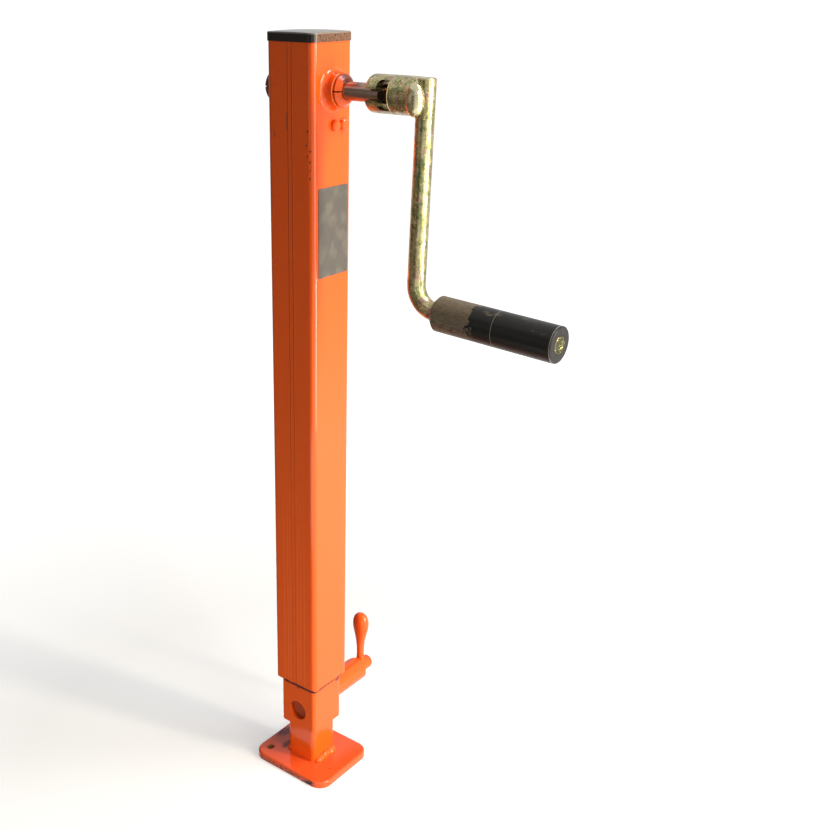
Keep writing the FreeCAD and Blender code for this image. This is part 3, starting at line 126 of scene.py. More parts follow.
def put(name: str, data: bpy.types.ID) -> bpy.types.Object:
    """Puts a new object in the scene, at the origin.

    Args:
        name: its name.
        data: its mesh, lamp or camera data.

    Returns:
        The object.
    """
    made = bpy.data.objects.new(name, data)
    bpy.context.scene.collection.objects.link(made)
    return made


def stand_in(name: str, mesh: bpy.types.Mesh, body: str, node: str, slot: str) -> None:
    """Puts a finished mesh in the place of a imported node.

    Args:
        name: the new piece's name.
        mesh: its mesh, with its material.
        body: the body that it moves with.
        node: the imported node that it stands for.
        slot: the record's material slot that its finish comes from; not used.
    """
    piece = put(name, mesh)
    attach(piece, body)
    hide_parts(node)
    LOG.info("%s: %d faces, in place of %s", name, len(mesh.polygons), node)


@dataclass(frozen=True)
class Cloud:
    """Cloudy patches: the usual distance between two of them, the noise values at which the mask
    starts and is full (a higher start gives fewer patches), how many times longer a patch is along
    each axis, how many finer layers its edge has, and a shift that sets two alike apart."""

    size_mm: float
    start: float
    full: float
    stretch: Triple = (1, 1, 1)
    detail: float = 3.0
    shift: float = 0.0


@dataclass(frozen=True)
class Blot:
    """One blot: its middle, its half sizes along the three axes, and as shares of its radius how
    far noise pushes its edge and how soft that edge is."""

    middle_mm: Triple
    half_mm: Triple
    ragged: float = 0.0
    soft: float = 0.3


@dataclass(frozen=True)
class Coat:
    """What a layer changes where it lies: its sRGB hex colour, its roughness and its height over
    the surface, less than 0 where it is sunk. None keeps what is below. Cover is how much of the
    colour and the roughness takes hold, up to 1."""

    colour: str | None = None
    rough: float | None = None
    height_mm: float | None = None
    cover: float = 1.0


Layer = tuple[Socket, Coat]


class Join(Enum):
    """How several masks become one: where all of them are, or where any of them is."""

    ALL = "MULTIPLY"
    ANY = "MAXIMUM"


class Pattern:
    """Masks from 0 to 1 for the patterns of one material, at places in millimetres."""

    # the noise that makes a blot ragged, in waves for each of its radii, and its finer layers
    ragged_scale = 1.3
    ragged_detail = 3.0

    def __init__(self, tree: Tree) -> None:
        """Reads the object's own coordinates, which are the frame's metres.

        Args:
            tree: the material's tree.
        """
        self.tree = tree
        self.point = add(tree, "ShaderNodeTexCoord")["Object"]
        parts = add(tree, "ShaderNodeSeparateXYZ", {0: self.point})
        self.x, self.y, self.z = (
            add(tree, "ShaderNodeMath", {0: part, 1: 1 / MM}, operation="MULTIPLY")[0]
            for part in parts
        )

    def ramp(self, value: Socket, start: float, full: float) -> Socket:
        """A soft step.

        Args:
            value: what it follows.
            start: where it is still 0.
            full: where it has reached 1, which may lie below start.

        Returns:
            The mask.
        """
        limits = {"Value": value, "From Min": start, "From Max": full}
        return add(
            self.tree, "ShaderNodeMapRange", limits, interpolation_type="SMOOTHSTEP", clamp=True
        )[0]

    def join(self, how: Join, masks: tuple[Socket, ...]) -> Socket:
        """Joins masks one after the other.

        Args:
            how: whether all of them or any of them counts.
            masks: the masks, at least one.

        Returns:
            The joined mask.
        """
        whole, *others = masks
        for mask in others:
            whole = add(self.tree, "ShaderNodeMath", {0: whole, 1: mask}, operation=how.value)[0]
        return whole

    def both(self, *masks: Socket) -> Socket:
        """The place where every mask is 1."""
        return self.join(Join.ALL, masks)

    def any_of(self, *masks: Socket) -> Socket:
        """The place where at least one mask is 1."""
        return self.join(Join.ANY, masks)

    def band(self, value: Socket, low: float, high: float, edge: float) -> Socket:
        """A stretch between two values.

        Args:
            value: what it follows.
            low: the middle of its lower edge.
            high: the middle of its upper edge.
            edge: how wide both edges are.

        Returns:
            The mask.
        """
        return self.both(
            self.ramp(value, low - edge / 2, low + edge / 2),
            self.ramp(value, high + edge / 2, high - edge / 2),
        )

    def line(self, value: Socket, place: float, form: Triple) -> Socket:
        """A line at a place. Its form is how far its two sides lie from there, and its edges."""
        below, above, edge = form
        return self.band(value, place + below, place + above, edge)

    def cloud(self, cloud: Cloud) -> Socket:
        """Cloudy patches of a real size.

        Args:
            cloud: their sizes.

        Returns:
            The mask.
        """
        scale = [1 / (MM * cloud.size_mm * s) for s in cloud.stretch]
        shift = (cloud.shift, cloud.shift, cloud.shift)
        moved = add(self.tree, "ShaderNodeMapping", {0: self.point, 1: shift, 3: scale})[0]
        noise = add(
            self.tree, "ShaderNodeTexNoise",
            {"Vector": moved, "Scale": 1.0, "Detail": cloud.detail},
        )[0]
        return self.ramp(noise, cloud.start, cloud.full)

    def blot(self, blot: Blot) -> Socket:
        """One blot around a point.

        Args:
            blot: its place and sizes.

        Returns:
            The mask.
        """
        offset = [-c / r for c, r in zip(blot.middle_mm, blot.half_mm)]
        scale = [1 / (MM * r) for r in blot.half_mm]
        moved = add(self.tree, "ShaderNodeMapping", {0: self.point, 1: offset, 3: scale})[0]
        away = add(self.tree, "ShaderNodeVectorMath", {0: moved}, operation="LENGTH")["Value"]
        if blot.ragged:
            noise = add(
                self.tree, "ShaderNodeTexNoise",
                {"Vector": moved, "Scale": self.ragged_scale, "Detail": self.ragged_detail},
            )[0]
            pushed = add(
                self.tree, "ShaderNodeMath", {0: noise, 1: 2 * blot.ragged, 2: -blot.ragged},
                operation="MULTIPLY_ADD",
            )[0]
            away = add(self.tree, "ShaderNodeMath", {0: away, 1: pushed}, operation="ADD")[0]
        return self.ramp(away, 1 + blot.soft / 2, 1 - blot.soft / 2)

    def blots(self, blots: tuple[Blot, ...]) -> Socket:
        """The place that any of several blots covers."""
        return self.any_of(*(self.blot(blot) for blot in blots))

    def pushed(self, value: Socket, cloud: Cloud, reach_mm: float) -> Socket:
        """A coordinate that a cloud pushes, so that a ramp along it gets a jagged edge.

        Args:
            value: the coordinate.
            cloud: the cloud.
            reach_mm: how far it pushes where it is full.

        Returns:
            The pushed coordinate.
        """
        return add(
            self.tree, "ShaderNodeMath", {0: self.cloud(cloud), 1: reach_mm, 2: value},
            operation="MULTIPLY_ADD",
        )[0]


class Stack:
    """A plain ground and the coats laid over it, each where its mask says."""

    def __init__(self, tree: Tree, colour: str, rough: float) -> None:
        """Starts from the ground.

        Args:
            tree: the material's tree.
            colour: the ground's sRGB hex colour.
            rough: its roughness.
        """
        self.tree = tree
        self.colour: object = linear(colour)
        self.rough: object = rough
        self.height: object = 0.0

    def lay(self, mask: Socket, coat: Coat) -> None:
        """Lays one coat over those below it.

        Args:
            mask: where the coat lies.
            coat: what it changes there.
        """
        tree = self.tree
        part = mask
        if coat.cover < 1:
            part = add(tree, "ShaderNodeMath", {0: mask, 1: coat.cover}, operation="MULTIPLY")[0]
        if coat.colour is not None:
            self.colour = add(
                tree, "ShaderNodeMix", {0: part, 6: self.colour, 7: linear(coat.colour)},
                data_type="RGBA",
            )[2]
        if coat.rough is not None:
            self.rough = add(tree, "ShaderNodeMix", {0: part, 2: self.rough, 3: coat.rough})[0]
        if coat.height_mm is not None:
            self.height = add(
                tree, "ShaderNodeMath", {0: mask, 1: coat.height_mm, 2: self.height},
                operation="MULTIPLY_ADD",
            )[0]

    def sockets(self) -> Inputs:
        """What the shader gets from the stack.

        Returns:
            Its base colour and roughness, and its normal where a coat has a height.
        """
        found: Inputs = {"Base Color": self.colour, "Roughness": self.rough}
        if isinstance(self.height, Socket):
            heights = {"Height": self.height, "Distance": MM}
            found["Normal"] = add(self.tree, "ShaderNodeBump", heights)[0]
        return found


@dataclass(frozen=True)
class Finish:
    """One real finish. Each kind adds its own layers and gloss."""

    name: str
    colour: str
    rough: float
    metal: float = 0.0

    def layers(self, on: Pattern) -> Iterator[Layer]:
        """The layers over the ground, lowest first. A plain finish has none."""
        return iter(())

    def gloss(self) -> Inputs:
        """The shader's values that are the same all over. A plain finish keeps the defaults."""
        return {}

    def material(self) -> bpy.types.Material:
        """Builds the finish, or returns the one that was built before.

        Returns:
            The material of that name.
        """
        made = bpy.data.materials.get(self.name)
        if made:
            return made
        made = bpy.data.materials.new(self.name)
        made.use_nodes = True
        tree = made.node_tree
        stack = Stack(tree, self.colour, self.rough)
        for mask, coat in self.layers(Pattern(tree)):
            stack.lay(mask, coat)
        shader = tree.nodes["Principled BSDF"]
        feed(tree, shader, {**stack.sockets(), "Metallic": self.metal, **self.gloss()})
        return made


@dataclass(frozen=True)
class GlossEnamel(Finish):
    """Orange-red stoving enamel, sprayed over steel: one clean colour and an even gloss over a
    faint orange peel. The pieces that wear have a kind of their own, with the same paint."""

    name: str = "gloss_enamel"
    colour: str = "EE5B16"
    rough: float = 0.13
    ior: float = 1.48
    specular: float = 0.45
    chip_colour: str = "2E120C"
    # the grease colour, which also paints shade in grooves and gaps
    grease_and_shade_colour: str = "1E0E0A"
    peel: Cloud = Cloud(2.4, 0.2, 0.8, detail=0.0)
    peel_coat: Coat = Coat(height_mm=0.0015)

    def layers(self, on: Pattern) -> Iterator[Layer]:
        """The orange peel."""
        yield on.cloud(self.peel), self.peel_coat

    def gloss(self) -> Inputs:
        """The gloss of a stoved paint that has aged a little."""
        return {"IOR": self.ior, "Specular IOR Level": self.specular}


@dataclass(frozen=True)
class BushEnamel(GlossEnamel):
    """Enamel on the shaft's bushes, with painted shade in the groove between each bush and its
    collar, and on the top of the one at the crank."""

    name: str = "gloss_enamel_bush"
    rough: float = 0.15
    # painted shade: the grooves between bushes and collars, and the top of the bush at the crank
    groove_shades_mm: tuple[Pair, ...] = ((38.0, 42.5), (-44.0, -38.0))
    groove_shade_edge_mm: float = 0.8
    top_shade: Blot = Blot((45, 6, 799), (7, 14, 9), ragged=0.3, soft=0.4)

    def layers(self, on: Pattern) -> Iterator[Layer]:
        """The paint's own layers, then the painted shade.

        Args:
            on: the material's masks.

        Yields:
            Each layer, lowest first.
        """
        yield from super().layers(on)
        # painted shade in the grooves and on the top of the crank-side bush
        grooves = (on.band(on.x, *groove, self.groove_shade_edge_mm) for groove in self.groove_shades_mm)
        yield on.any_of(*grooves), Coat(self.grease_and_shade_colour, 0.5, cover=0.9)
        yield on.blot(self.top_shade), Coat(self.grease_and_shade_colour, 0.5, cover=0.85)


@dataclass(frozen=True)
class TubeEnamel(GlossEnamel):
    """Enamel on the outer tube: the weld seam, with a painted highlight beside it, and the drawing
    lines of the steel show through it, things have struck it, the far collar has painted shade,
    and dirt sits along the lower rim."""

    name: str = "gloss_enamel_tube"
    rough: float = 0.14
    # the side that carries the seam, as y, and where masks for it start and are full
    face_mm: float = -30.0
    on_face_mm: Pair = (-28.0, -29.5)
    # the two edges of the seam, as x, the form of each, and of the ridge of paint beside it,
    # which is drawn as a painted highlight
    seams_mm: Pair = (-2.6, 2.5)
    seam_form_mm: Triple = (-0.3, 0.3, 0.4)
    seam_coat: Coat = Coat("8E2A10", height_mm=-0.03, cover=0.5)
    ridge_form_mm: Triple = (0.7, 1.2, 0.5)
    ridge_highlight_coat: Coat = Coat("FF7A3C", cover=0.35)
    # the seam is deeper in the upper half: where that starts and is full, as z
    deep_seam_mm: Pair = (330.0, 520.0)
    deep_seam_coat: Coat = Coat("5E160A", cover=0.7)
    # drawing lines, as x, and the heights between which they fade upwards
    draw_lines_mm: tuple[float, ...] = (-14.5, -9.0, -5.2, 5.6, 9.4, 15.0)
    draw_form_mm: Triple = (-0.4, 0.4, 0.7)
    draw_fade_mm: Pair = (480.0, 180.0)
    draw_coat: Coat = Coat("FF8A50", height_mm=0.03, cover=0.4)
    # chips as x, z and half size, a little taller than wide, and scratches as x, z, half length
    chips_mm: tuple[Triple, ...] = (
        (22.4, 751.5, 0.9), (21.4, 738.2, 0.7), (25.6, 732.8, 0.8), (22.0, 727.7, 0.7),
        (25.4, 722.3, 0.8), (25.4, 714.6, 0.7), (25.3, 706.9, 0.7), (-25.3, 725.2, 0.7),
        (-25.5, 718.2, 0.7), (2.4, 747.0, 0.6),
    )
    chip_height: float = 1.5
    scratches_mm: tuple[Triple, ...] = ((-19.6, 746.5, 4.5), (-3.8, 760.0, 10.0))
    scratch_half_mm: float = 0.35
    struck_depth_mm: float = 3.0
    # painted shade on the far collar, the side away from the light
    far_collar_shade_mm: Pair = (-31.0, -34.0)
    collar_shade_coat: Coat = Coat("5A1A10", 0.3, cover=0.75)
    rim_mm: Pair = (118.6, 117.0)
    rim_cloud: Cloud = Cloud(9, 0.42, 0.5)
    rim_coat: Coat = Coat("6B2A1C", 0.55)

    def struck(self) -> tuple[Blot, ...]:
        """The chips and scratches, as blots on the seam's side.

        Returns:
            The blots.
        """
        y, deep = self.face_mm, self.struck_depth_mm
        chips = tuple(
            Blot((x, y, z), (half, deep, half * self.chip_height), ragged=0.5)
            for x, z, half in self.chips_mm
        )
        scratches = tuple(
            Blot((x, y, z), (self.scratch_half_mm, deep, half)) for x, z, half in self.scratches_mm
        )
        return chips + scratches

    def layers(self, on: Pattern) -> Iterator[Layer]:
        """The paint's own layers, then marks of steel, blows and dirt, a painted highlight and
        shade.

        Args:
            on: the material's masks.

        Yields:
            Each layer, lowest first.
        """
        yield from super().layers(on)
        face = on.ramp(on.y, *self.on_face_mm)
        for x in self.seams_mm:
            seam = on.both(on.line(on.x, x, self.seam_form_mm), face)
            yield seam, self.seam_coat
            yield on.both(seam, on.ramp(on.z, *self.deep_seam_mm)), self.deep_seam_coat
            # a lighter line beside each seam edge: a painted highlight
            yield on.both(on.line(on.x, x, self.ridge_form_mm), face), self.ridge_highlight_coat
        for x in self.draw_lines_mm:
            line = on.line(on.x, x, self.draw_form_mm)
            yield on.both(line, face, on.ramp(on.z, *self.draw_fade_mm)), self.draw_coat
        struck = on.both(on.blots(self.struck()), face)
        yield struck, Coat(self.chip_colour, 0.6, height_mm=-0.06)
        yield on.ramp(on.x, *self.far_collar_shade_mm), self.collar_shade_coat
        yield on.both(on.ramp(on.z, *self.rim_mm), on.cloud(self.rim_cloud)), self.rim_coat


@dataclass(frozen=True)
class InnerEnamel(GlossEnamel):
    """Enamel on the inner tube: under the outer tube's rim a dark band with a ragged edge is
    painted shade in the gap, grease lies there in a thin smear and two blots, and the lock's side
    is rubbed dull."""

    name: str = "gloss_enamel_inner"
    rough: float = 0.16
    # a thin smear, by the heights where it starts and is full
    smear_mm: Pair = (108.0, 125.0)
    smear_cloud: Cloud = Cloud(26, 0.35, 0.7, stretch=(1, 1, 4))
    # the painted shade in the gap, by its lower edge, how far noise pushes that edge, and its
    # upper edge in the tube
    gap_shade_low_mm: Pair = (110.3, 111.0)
    gap_shade_high_mm: Pair = (123.0, 117.0)
    gap_shade_push_mm: float = 0.9
    gap_shade_edge: Cloud = Cloud(7, 0.3, 0.7, stretch=(1, 1, 3))
    stains: tuple[Blot, ...] = (
        Blot((0.5, -25, 109.4), (1.2, 3, 2.8), ragged=0.5),
        Blot((25, 19.0, 109.4), (3, 5, 3.0), ragged=0.6),
    )
    lock_side: Blot = Blot((4, 25, 77), (40, 1.5, 40))

    def layers(self, on: Pattern) -> Iterator[Layer]:
        """The paint's own layers, then the grease, the painted shade under the rim and the rubbed
        side.

        Args:
            on: the material's masks.

        Yields:
            Each layer, lowest first.
        """
        yield from super().layers(on)
        smear = on.both(on.ramp(on.z, *self.smear_mm), on.cloud(self.smear_cloud))
        yield smear, Coat(self.grease_and_shade_colour, 0.4, cover=0.22)
        # painted shade in the gap under the outer tube's rim, with a ragged lower edge
        edge = on.pushed(on.z, self.gap_shade_edge, self.gap_shade_push_mm)
        film = on.both(on.ramp(edge, *self.gap_shade_low_mm), on.ramp(on.z, *self.gap_shade_high_mm))
        yield film, Coat(self.grease_and_shade_colour, 0.85, cover=0.95)
        yield on.blots(self.stains), Coat(self.grease_and_shade_colour, 0.4, cover=0.75)
        yield on.blot(self.lock_side), Coat(rough=0.35)


@dataclass(frozen=True)
class LegEnamel(GlossEnamel):
    """Enamel on the drop leg: painted shade on a rougher spot where it shows through the window."""

    name: str = "gloss_enamel_leg"
    rough: float = 0.15
    # painted shade on the leg's face inside the window, which is also rougher
    window: Blot = Blot((0, -20, 77), (14, 2, 14), ragged=0.1)
    window_shade_coat: Coat = Coat("8A3410", 0.6, cover=0.8)

    def layers(self, on: Pattern) -> Iterator[Layer]:
        """The paint's own layers, then the painted shade in the window."""
        yield from super().layers(on)
        yield on.blot(self.window), self.window_shade_coat


@dataclass(frozen=True)
class FootEnamel(GlossEnamel):
    """Enamel on the foot plate, a little redder: scuffed on top, with chips, painted shade at the
    end of the far weld, rust along the sheared front rim and in the peg hole."""

    name: str = "gloss_enamel_foot"
    colour: str = "EE5826"
    rough: float = 0.18
    top_mm: Pair = (7.0, 7.8)
    scuffs: tuple[Blot, ...] = (
        Blot((-47, 9, 8), (8, 14, 3), ragged=0.6, soft=0.6),
        Blot((-42, 32, 8), (10, 12, 3), ragged=0.6, soft=0.6),
    )
    scuff_coat: Coat = Coat("7A4A4A", 0.6, cover=0.55)
    worn: Cloud = Cloud(3.4, 0.34, 0.56, detail=5.0)
    worn_coat: Coat = Coat("6E5A6A", 0.65, cover=0.85)
    chips: tuple[Blot, ...] = (
        Blot((17, -14.5, 8), (1.3, 1.0, 2), ragged=0.4),
        Blot((40.6, -15.4, 8), (1.1, 1.0, 2), ragged=0.4),
    )
    # painted shade on the plate at the end of the far weld
    far_weld_shade: Blot = Blot((-28.0, -11.0, 8), (4.0, 9.0, 2), ragged=0.4)
    far_weld_shade_coat: Coat = Coat("5A1A0C", 0.5, cover=0.85)
    # the front rim, as y, and the height under which rust has taken it
    rim_mm: Pair = (-45.0, -45.8)
    rim_high_mm: Pair = (7.0, 5.5)
    bloom: Cloud = Cloud(3.0, 0.4, 0.6, detail=5.0)
    bloom_coat: Coat = Coat("7A4020", 0.65, cover=0.8)
    specks: Cloud = Cloud(1.3, 0.54, 0.60, shift=4.0)
    speck_coat: Coat = Coat("3A2418", 0.7, height_mm=-0.05)
    # the stretch of the rim, as x, where the paint is gone, with its soft edge
    bare_mm: Triple = (22.0, 40.0, 4.0)
    bare_cloud: Cloud = Cloud(4, 0.48, 0.53)
    bare_coat: Coat = Coat("1C110C", 0.7, height_mm=-0.08)
    peg_hole: Blot = Blot((-41, -29, 4), (6.5, 6.5, 9), soft=0.1)
    peg_hole_high_mm: Pair = (7.7, 6.9)
    peg_hole_coat: Coat = Coat("8E6E4C", 0.7, cover=0.85)

    def layers(self, on: Pattern) -> Iterator[Layer]:
        """The paint's own layers, then the wear of the top, the painted shade, the rim and the
        hole.

        Args:
            on: the material's masks.

        Yields:
            Each layer, lowest first.
        """
        yield from super().layers(on)
        scuff = on.both(on.blots(self.scuffs), on.ramp(on.z, *self.top_mm))
        yield scuff, self.scuff_coat
        yield on.both(scuff, on.cloud(self.worn)), self.worn_coat
        yield on.blots(self.chips), Coat(self.chip_colour, 0.6, height_mm=-0.05)
        yield on.blot(self.far_weld_shade), self.far_weld_shade_coat
        rim = on.both(on.ramp(on.y, *self.rim_mm), on.ramp(on.z, *self.rim_high_mm))
        yield on.both(rim, on.cloud(self.bloom)), self.bloom_coat
        yield on.both(rim, on.cloud(self.specks)), self.speck_coat
        bare = on.both(rim, on.band(on.x, *self.bare_mm), on.cloud(self.bare_cloud))
        yield bare, self.bare_coat
        bore = on.both(on.blot(self.peg_hole), on.ramp(on.z, *self.peg_hole_high_mm))
        yield bore, self.peg_hole_coat


# how the film's patches are drawn out along the upright bar
DOWN_BAR: Triple = (1, 1, 1.6)


@dataclass(frozen=True)
class PassivatedZinc(Finish):
    """Yellow-chromated zinc plate: a metal with a thin oily film that runs from olive through
    straw to pink, in patches that drift down the bar, with specks and handling marks."""

    colour: str = "ADA480"
    rough: float = 0.28
    metal: float = 1.0
    # the film's hues, each with the patches that it takes
    hues: tuple[tuple[str, Cloud], ...] = (
        ("85875A", Cloud(8.0, 0.40, 0.60, stretch=DOWN_BAR, shift=0.1)),
        ("9A7270", Cloud(6.0, 0.52, 0.64, stretch=DOWN_BAR, shift=3.7)),
        ("5C6E46", Cloud(4.5, 0.52, 0.64, stretch=DOWN_BAR, shift=7.3)),
        ("C0B080", Cloud(2.8, 0.58, 0.70, stretch=DOWN_BAR, shift=9.9)),
    )
    hue_cover: float = 0.8
    dull: Cloud = Cloud(6, 0.5, 0.62, shift=2.2)
    dull_rough: float = 0.14
    specks: Cloud = Cloud(1.3, 0.60, 0.68, detail=2.0, shift=1.0)
    speck_coat: Coat = Coat("4E4228", cover=0.6)
    # gold specks, and where they gather
    gold: Cloud = Cloud(1.2, 0.57, 0.64, detail=1.0, shift=5.0)
    gold_fields: Cloud = Cloud(8, 0.40, 0.56, shift=6.0)
    gold_coat: Coat = Coat("F0D490", cover=0.8)
    marks: Cloud = Cloud(2.5, 0.45, 0.75, stretch=(1, 1, 9), detail=1.0)
    mark_coat: Coat = Coat(height_mm=0.008)
    # the burr round the end of a slot, with a painted highlight along it: its place as x, or none,
    # its form, and its heights with their soft edge
    burr_mm: float | None = None
    burr_form_mm: Triple = (0.0, 0.6, 0.9)
    burr_high_mm: Triple = (775.0, 803.0, 3.0)
    burr_highlight_coat: Coat = Coat("F0D8A0", 0.2, height_mm=0.5, cover=0.8)

    def layers(self, on: Pattern) -> Iterator[Layer]:
        """The film's hues, then dull patches, specks, marks and the burr with its painted
        highlight.

        Args:
            on: the material's masks.

        Yields:
            Each layer, lowest first.
        """
        for colour, cloud in self.hues:
            yield on.cloud(cloud), Coat(colour, cover=self.hue_cover)
        yield on.cloud(self.dull), Coat(rough=self.rough + self.dull_rough)
        yield on.cloud(self.specks), self.speck_coat
        yield on.both(on.cloud(self.gold), on.cloud(self.gold_fields)), self.gold_coat
        yield on.cloud(self.marks), self.mark_coat
        # the burr: a raised edge, with a painted highlight in its pale colour
        if self.burr_mm is not None:
            across = on.line(on.x, self.burr_mm, self.burr_form_mm)
            yield on.both(across, on.band(on.z, *self.burr_high_mm)), self.burr_highlight_coat


@dataclass(frozen=True)
class TurnedSteel(Finish):
    """Turned, milled or ground steel, oiled: a grey metal with fine cutting lines across Z, which
    are drawn coarser than the real ones, as coarse as they need to show."""

    metal: float = 1.0
    line_mm: float = 0.6
    line_rough: float = 0.12
    line_high_mm: float = 0.0096
    oil: Cloud = Cloud(12, 0.5, 0.65)
    oil_colour: str = "5E584C"

    def layers(self, on: Pattern) -> Iterator[Layer]:
        """The cutting lines and an oil stain.

        Args:
            on: the material's masks.

        Yields:
            Each layer, lowest first.
        """
        lines = Cloud(self.line_mm, 0.35, 0.65, stretch=(30, 30, 1), detail=1.0)
        yield on.cloud(lines), Coat(rough=self.rough + self.line_rough, height_mm=self.line_high_mm)
        yield on.cloud(self.oil), Coat(self.oil_colour, cover=0.5)


@dataclass(frozen=True)
class GripPlastic(Finish):
    """Black PVC, moulded: a soft low gloss with a dusty, rubbed patch near the crank's bend, a
    thin parting ring, a painted highlight on the edge at its end and smudges from hands."""

    specular: float = 0.28
    # the rubbed patch ends where x, pushed by noise, passes this
    rub_edge_mm: Pair = (211.0, 209.0)
    rub_noise: Cloud = Cloud(6, 0.2, 0.8, detail=6.0)
    rub_reach_mm: float = 14.0
    upper_mm: Pair = (574.0, 592.0)
    dust_coat: Coat = Coat("7C6E5A", 0.55, cover=0.5)
    worn: Cloud = Cloud(1.6, 0.30, 0.62, stretch=(3, 1, 1), detail=6.0)
    worn_coat: Coat = Coat("7C6E5A", 0.6, height_mm=0.02, cover=0.6)
    # the parting ring and the painted highlight on the end's edge, each by its place as x and its
    # form
    ring_and_highlight_mm: tuple[tuple[float, Triple], ...] = (
        (228.0, (-0.2, 0.2, 0.4)), (288.4, (-0.4, 0.4, 0.4)),
    )
    ring_and_highlight_coat: Coat = Coat("B4AEA6", 0.45, height_mm=0.04, cover=0.6)
    hand: Blot = Blot((262, -12, 607), (17, 14, 7), ragged=0.4, soft=0.8)
    hand_cloud: Cloud = Cloud(3, 0.46, 0.66, stretch=(3, 1, 1), detail=6.0)
    smudges: Cloud = Cloud(9, 0.62, 0.74, stretch=(2.4, 1, 1), detail=5.0, shift=1.3)
    smudge_coat: Coat = Coat("6A5E50", 0.6, cover=0.6)
    grain: Cloud = Cloud(0.9, 0.3, 0.7, detail=1.0)
    grain_coat: Coat = Coat(height_mm=0.008)

    def layers(self, on: Pattern) -> Iterator[Layer]:
        """The rubbed patch with a jagged end, the ring and highlight, the smudges and the mould's
        grain.

        Args:
            on: the material's masks.

        Yields:
            Each layer, lowest first.
        """
        rubbed = on.ramp(on.pushed(on.x, self.rub_noise, self.rub_reach_mm), *self.rub_edge_mm)
        yield on.both(rubbed, on.ramp(on.z, *self.upper_mm)), self.dust_coat
        yield on.both(rubbed, on.cloud(self.worn)), self.worn_coat
        # the parting ring, and a pale line on the end's edge that is a painted highlight
        for place, form in self.ring_and_highlight_mm:
            yield on.line(on.x, place, form), self.ring_and_highlight_coat
        hand = on.both(on.cloud(self.hand_cloud), on.blot(self.hand))
        yield on.any_of(hand, on.cloud(self.smudges)), self.smudge_coat
        yield on.cloud(self.grain), self.grain_coat

    def gloss(self) -> Inputs:
        """A plasticised surface that reflects little."""
        return {"Specular IOR Level": self.specular}


@dataclass(frozen=True)
class CapPlastic(Finish):
    """Black polyethylene plug, moulded: a waxy gloss, with settled road dust on its crank side."""

    side_mm: Pair = (29.5, 31.0)
    side_dust: Cloud = Cloud(2.2, 0.2, 0.7, detail=6.0)
    side_coat: Coat = Coat("8A5E40", 0.5, cover=0.75)
    # a painted reflection: the top is paler, as if it mirrored the pale room
    top_mm: Pair = (840.4, 841.5)
    top_reflection_coat: Coat = Coat("8C8782", 0.38, cover=0.55)
    grain: Cloud = Cloud(1.2, 0.3, 0.7, detail=1.0)
    grain_coat: Coat = Coat(height_mm=0.006)

    def layers(self, on: Pattern) -> Iterator[Layer]:
        """Dust on the side towards the crank, a painted reflection on top, and the mould's grain.

        Args:
            on: the material's masks.

        Yields:
            Each layer, lowest first.
        """
        yield on.both(on.ramp(on.x, *self.side_mm), on.cloud(self.side_dust)), self.side_coat
        yield on.ramp(on.z, *self.top_mm), self.top_reflection_coat
        yield on.cloud(self.grain), self.grain_coat


@dataclass(frozen=True)
class AluminiumFilm(Finish):
    """Self-adhesive aluminium foil, rolled: a satin silver with lines along the roll, which are
    drawn coarser than the real ones, and a film of dust."""

    metal: float = 1.0
    lines: Cloud = Cloud(0.5, 0.35, 0.65, stretch=(1, 1, 60), detail=1.0)
    line_rough: float = 0.08
    line_high_mm: float = 0.004
    dust: Cloud = Cloud(13, 0.45, 0.65)
    dust_coat: Coat = Coat("7E786C", 0.5, cover=0.5)

    def layers(self, on: Pattern) -> Iterator[Layer]:
        """The rolling lines and the dust.

        Args:
            on: the material's masks.

        Yields:
            Each layer, lowest first.
        """
        lines = Coat(rough=self.rough + self.line_rough, height_mm=self.line_high_mm)
        yield on.cloud(self.lines), lines
        yield on.cloud(self.dust), self.dust_coat


PLAIN_ENAMEL = GlossEnamel()
TUBE_ENAMEL = TubeEnamel()
BUSH_ENAMEL = BushEnamel()
INNER_ENAMEL = InnerEnamel()
LEG_ENAMEL = LegEnamel()
FOOT_ENAMEL = FootEnamel()
ZINC = PassivatedZinc("passivated_zinc_plate")
HUB_ZINC = PassivatedZinc("passivated_zinc_hub", burr_mm=106.2)
WELD_ZINC = PassivatedZinc("passivated_zinc_weld", "BDB796", 0.22, hues=())
# the grip cap's zinc: olive, and darker than the plate as painted shade for the darker reflection
# it shows
SHADED_CAP_ZINC = PassivatedZinc(
    "passivated_zinc_cap_shaded", "4E4C32", 0.34,
    hues=(
        ("42462A", Cloud(4.0, 0.40, 0.60, stretch=DOWN_BAR, shift=0.1)),
        ("2A3422", Cloud(3.0, 0.50, 0.62, stretch=DOWN_BAR, shift=7.3)),
    ),
)
STEEL = TurnedSteel("turned_steel", "A3A29E", 0.30)
SHAFT_STEEL = TurnedSteel(
    "drawn_shaft_steel", "9A857A", 0.22, line_rough=0.05, line_high_mm=0.004, oil_colour="6E5C50"
)
BLACK_OXIDE = TurnedSteel("black_oxide_steel", "241B15", 0.45, oil_colour="1A1410")
HARD_STEEL = TurnedSteel("ground_bearing_steel", "B4B4B2", 0.20, line_mm=0.4)
BRASS = TurnedSteel("pressed_brass", "C8A45C", 0.28, oil_colour="8A6E3A")
GRIP = GripPlastic("moulded_grip_plastic", "0E0D0C", 0.38)
CAP = CapPlastic("moulded_cap_plastic", "120F0D", 0.22)
FILM = AluminiumFilm("aluminium_foil", "6D6760", 0.38)


class WeldPath(Enum):
    """How a bead runs: round to its start, or from end to end."""

    CLOSED = True
    OPEN = False


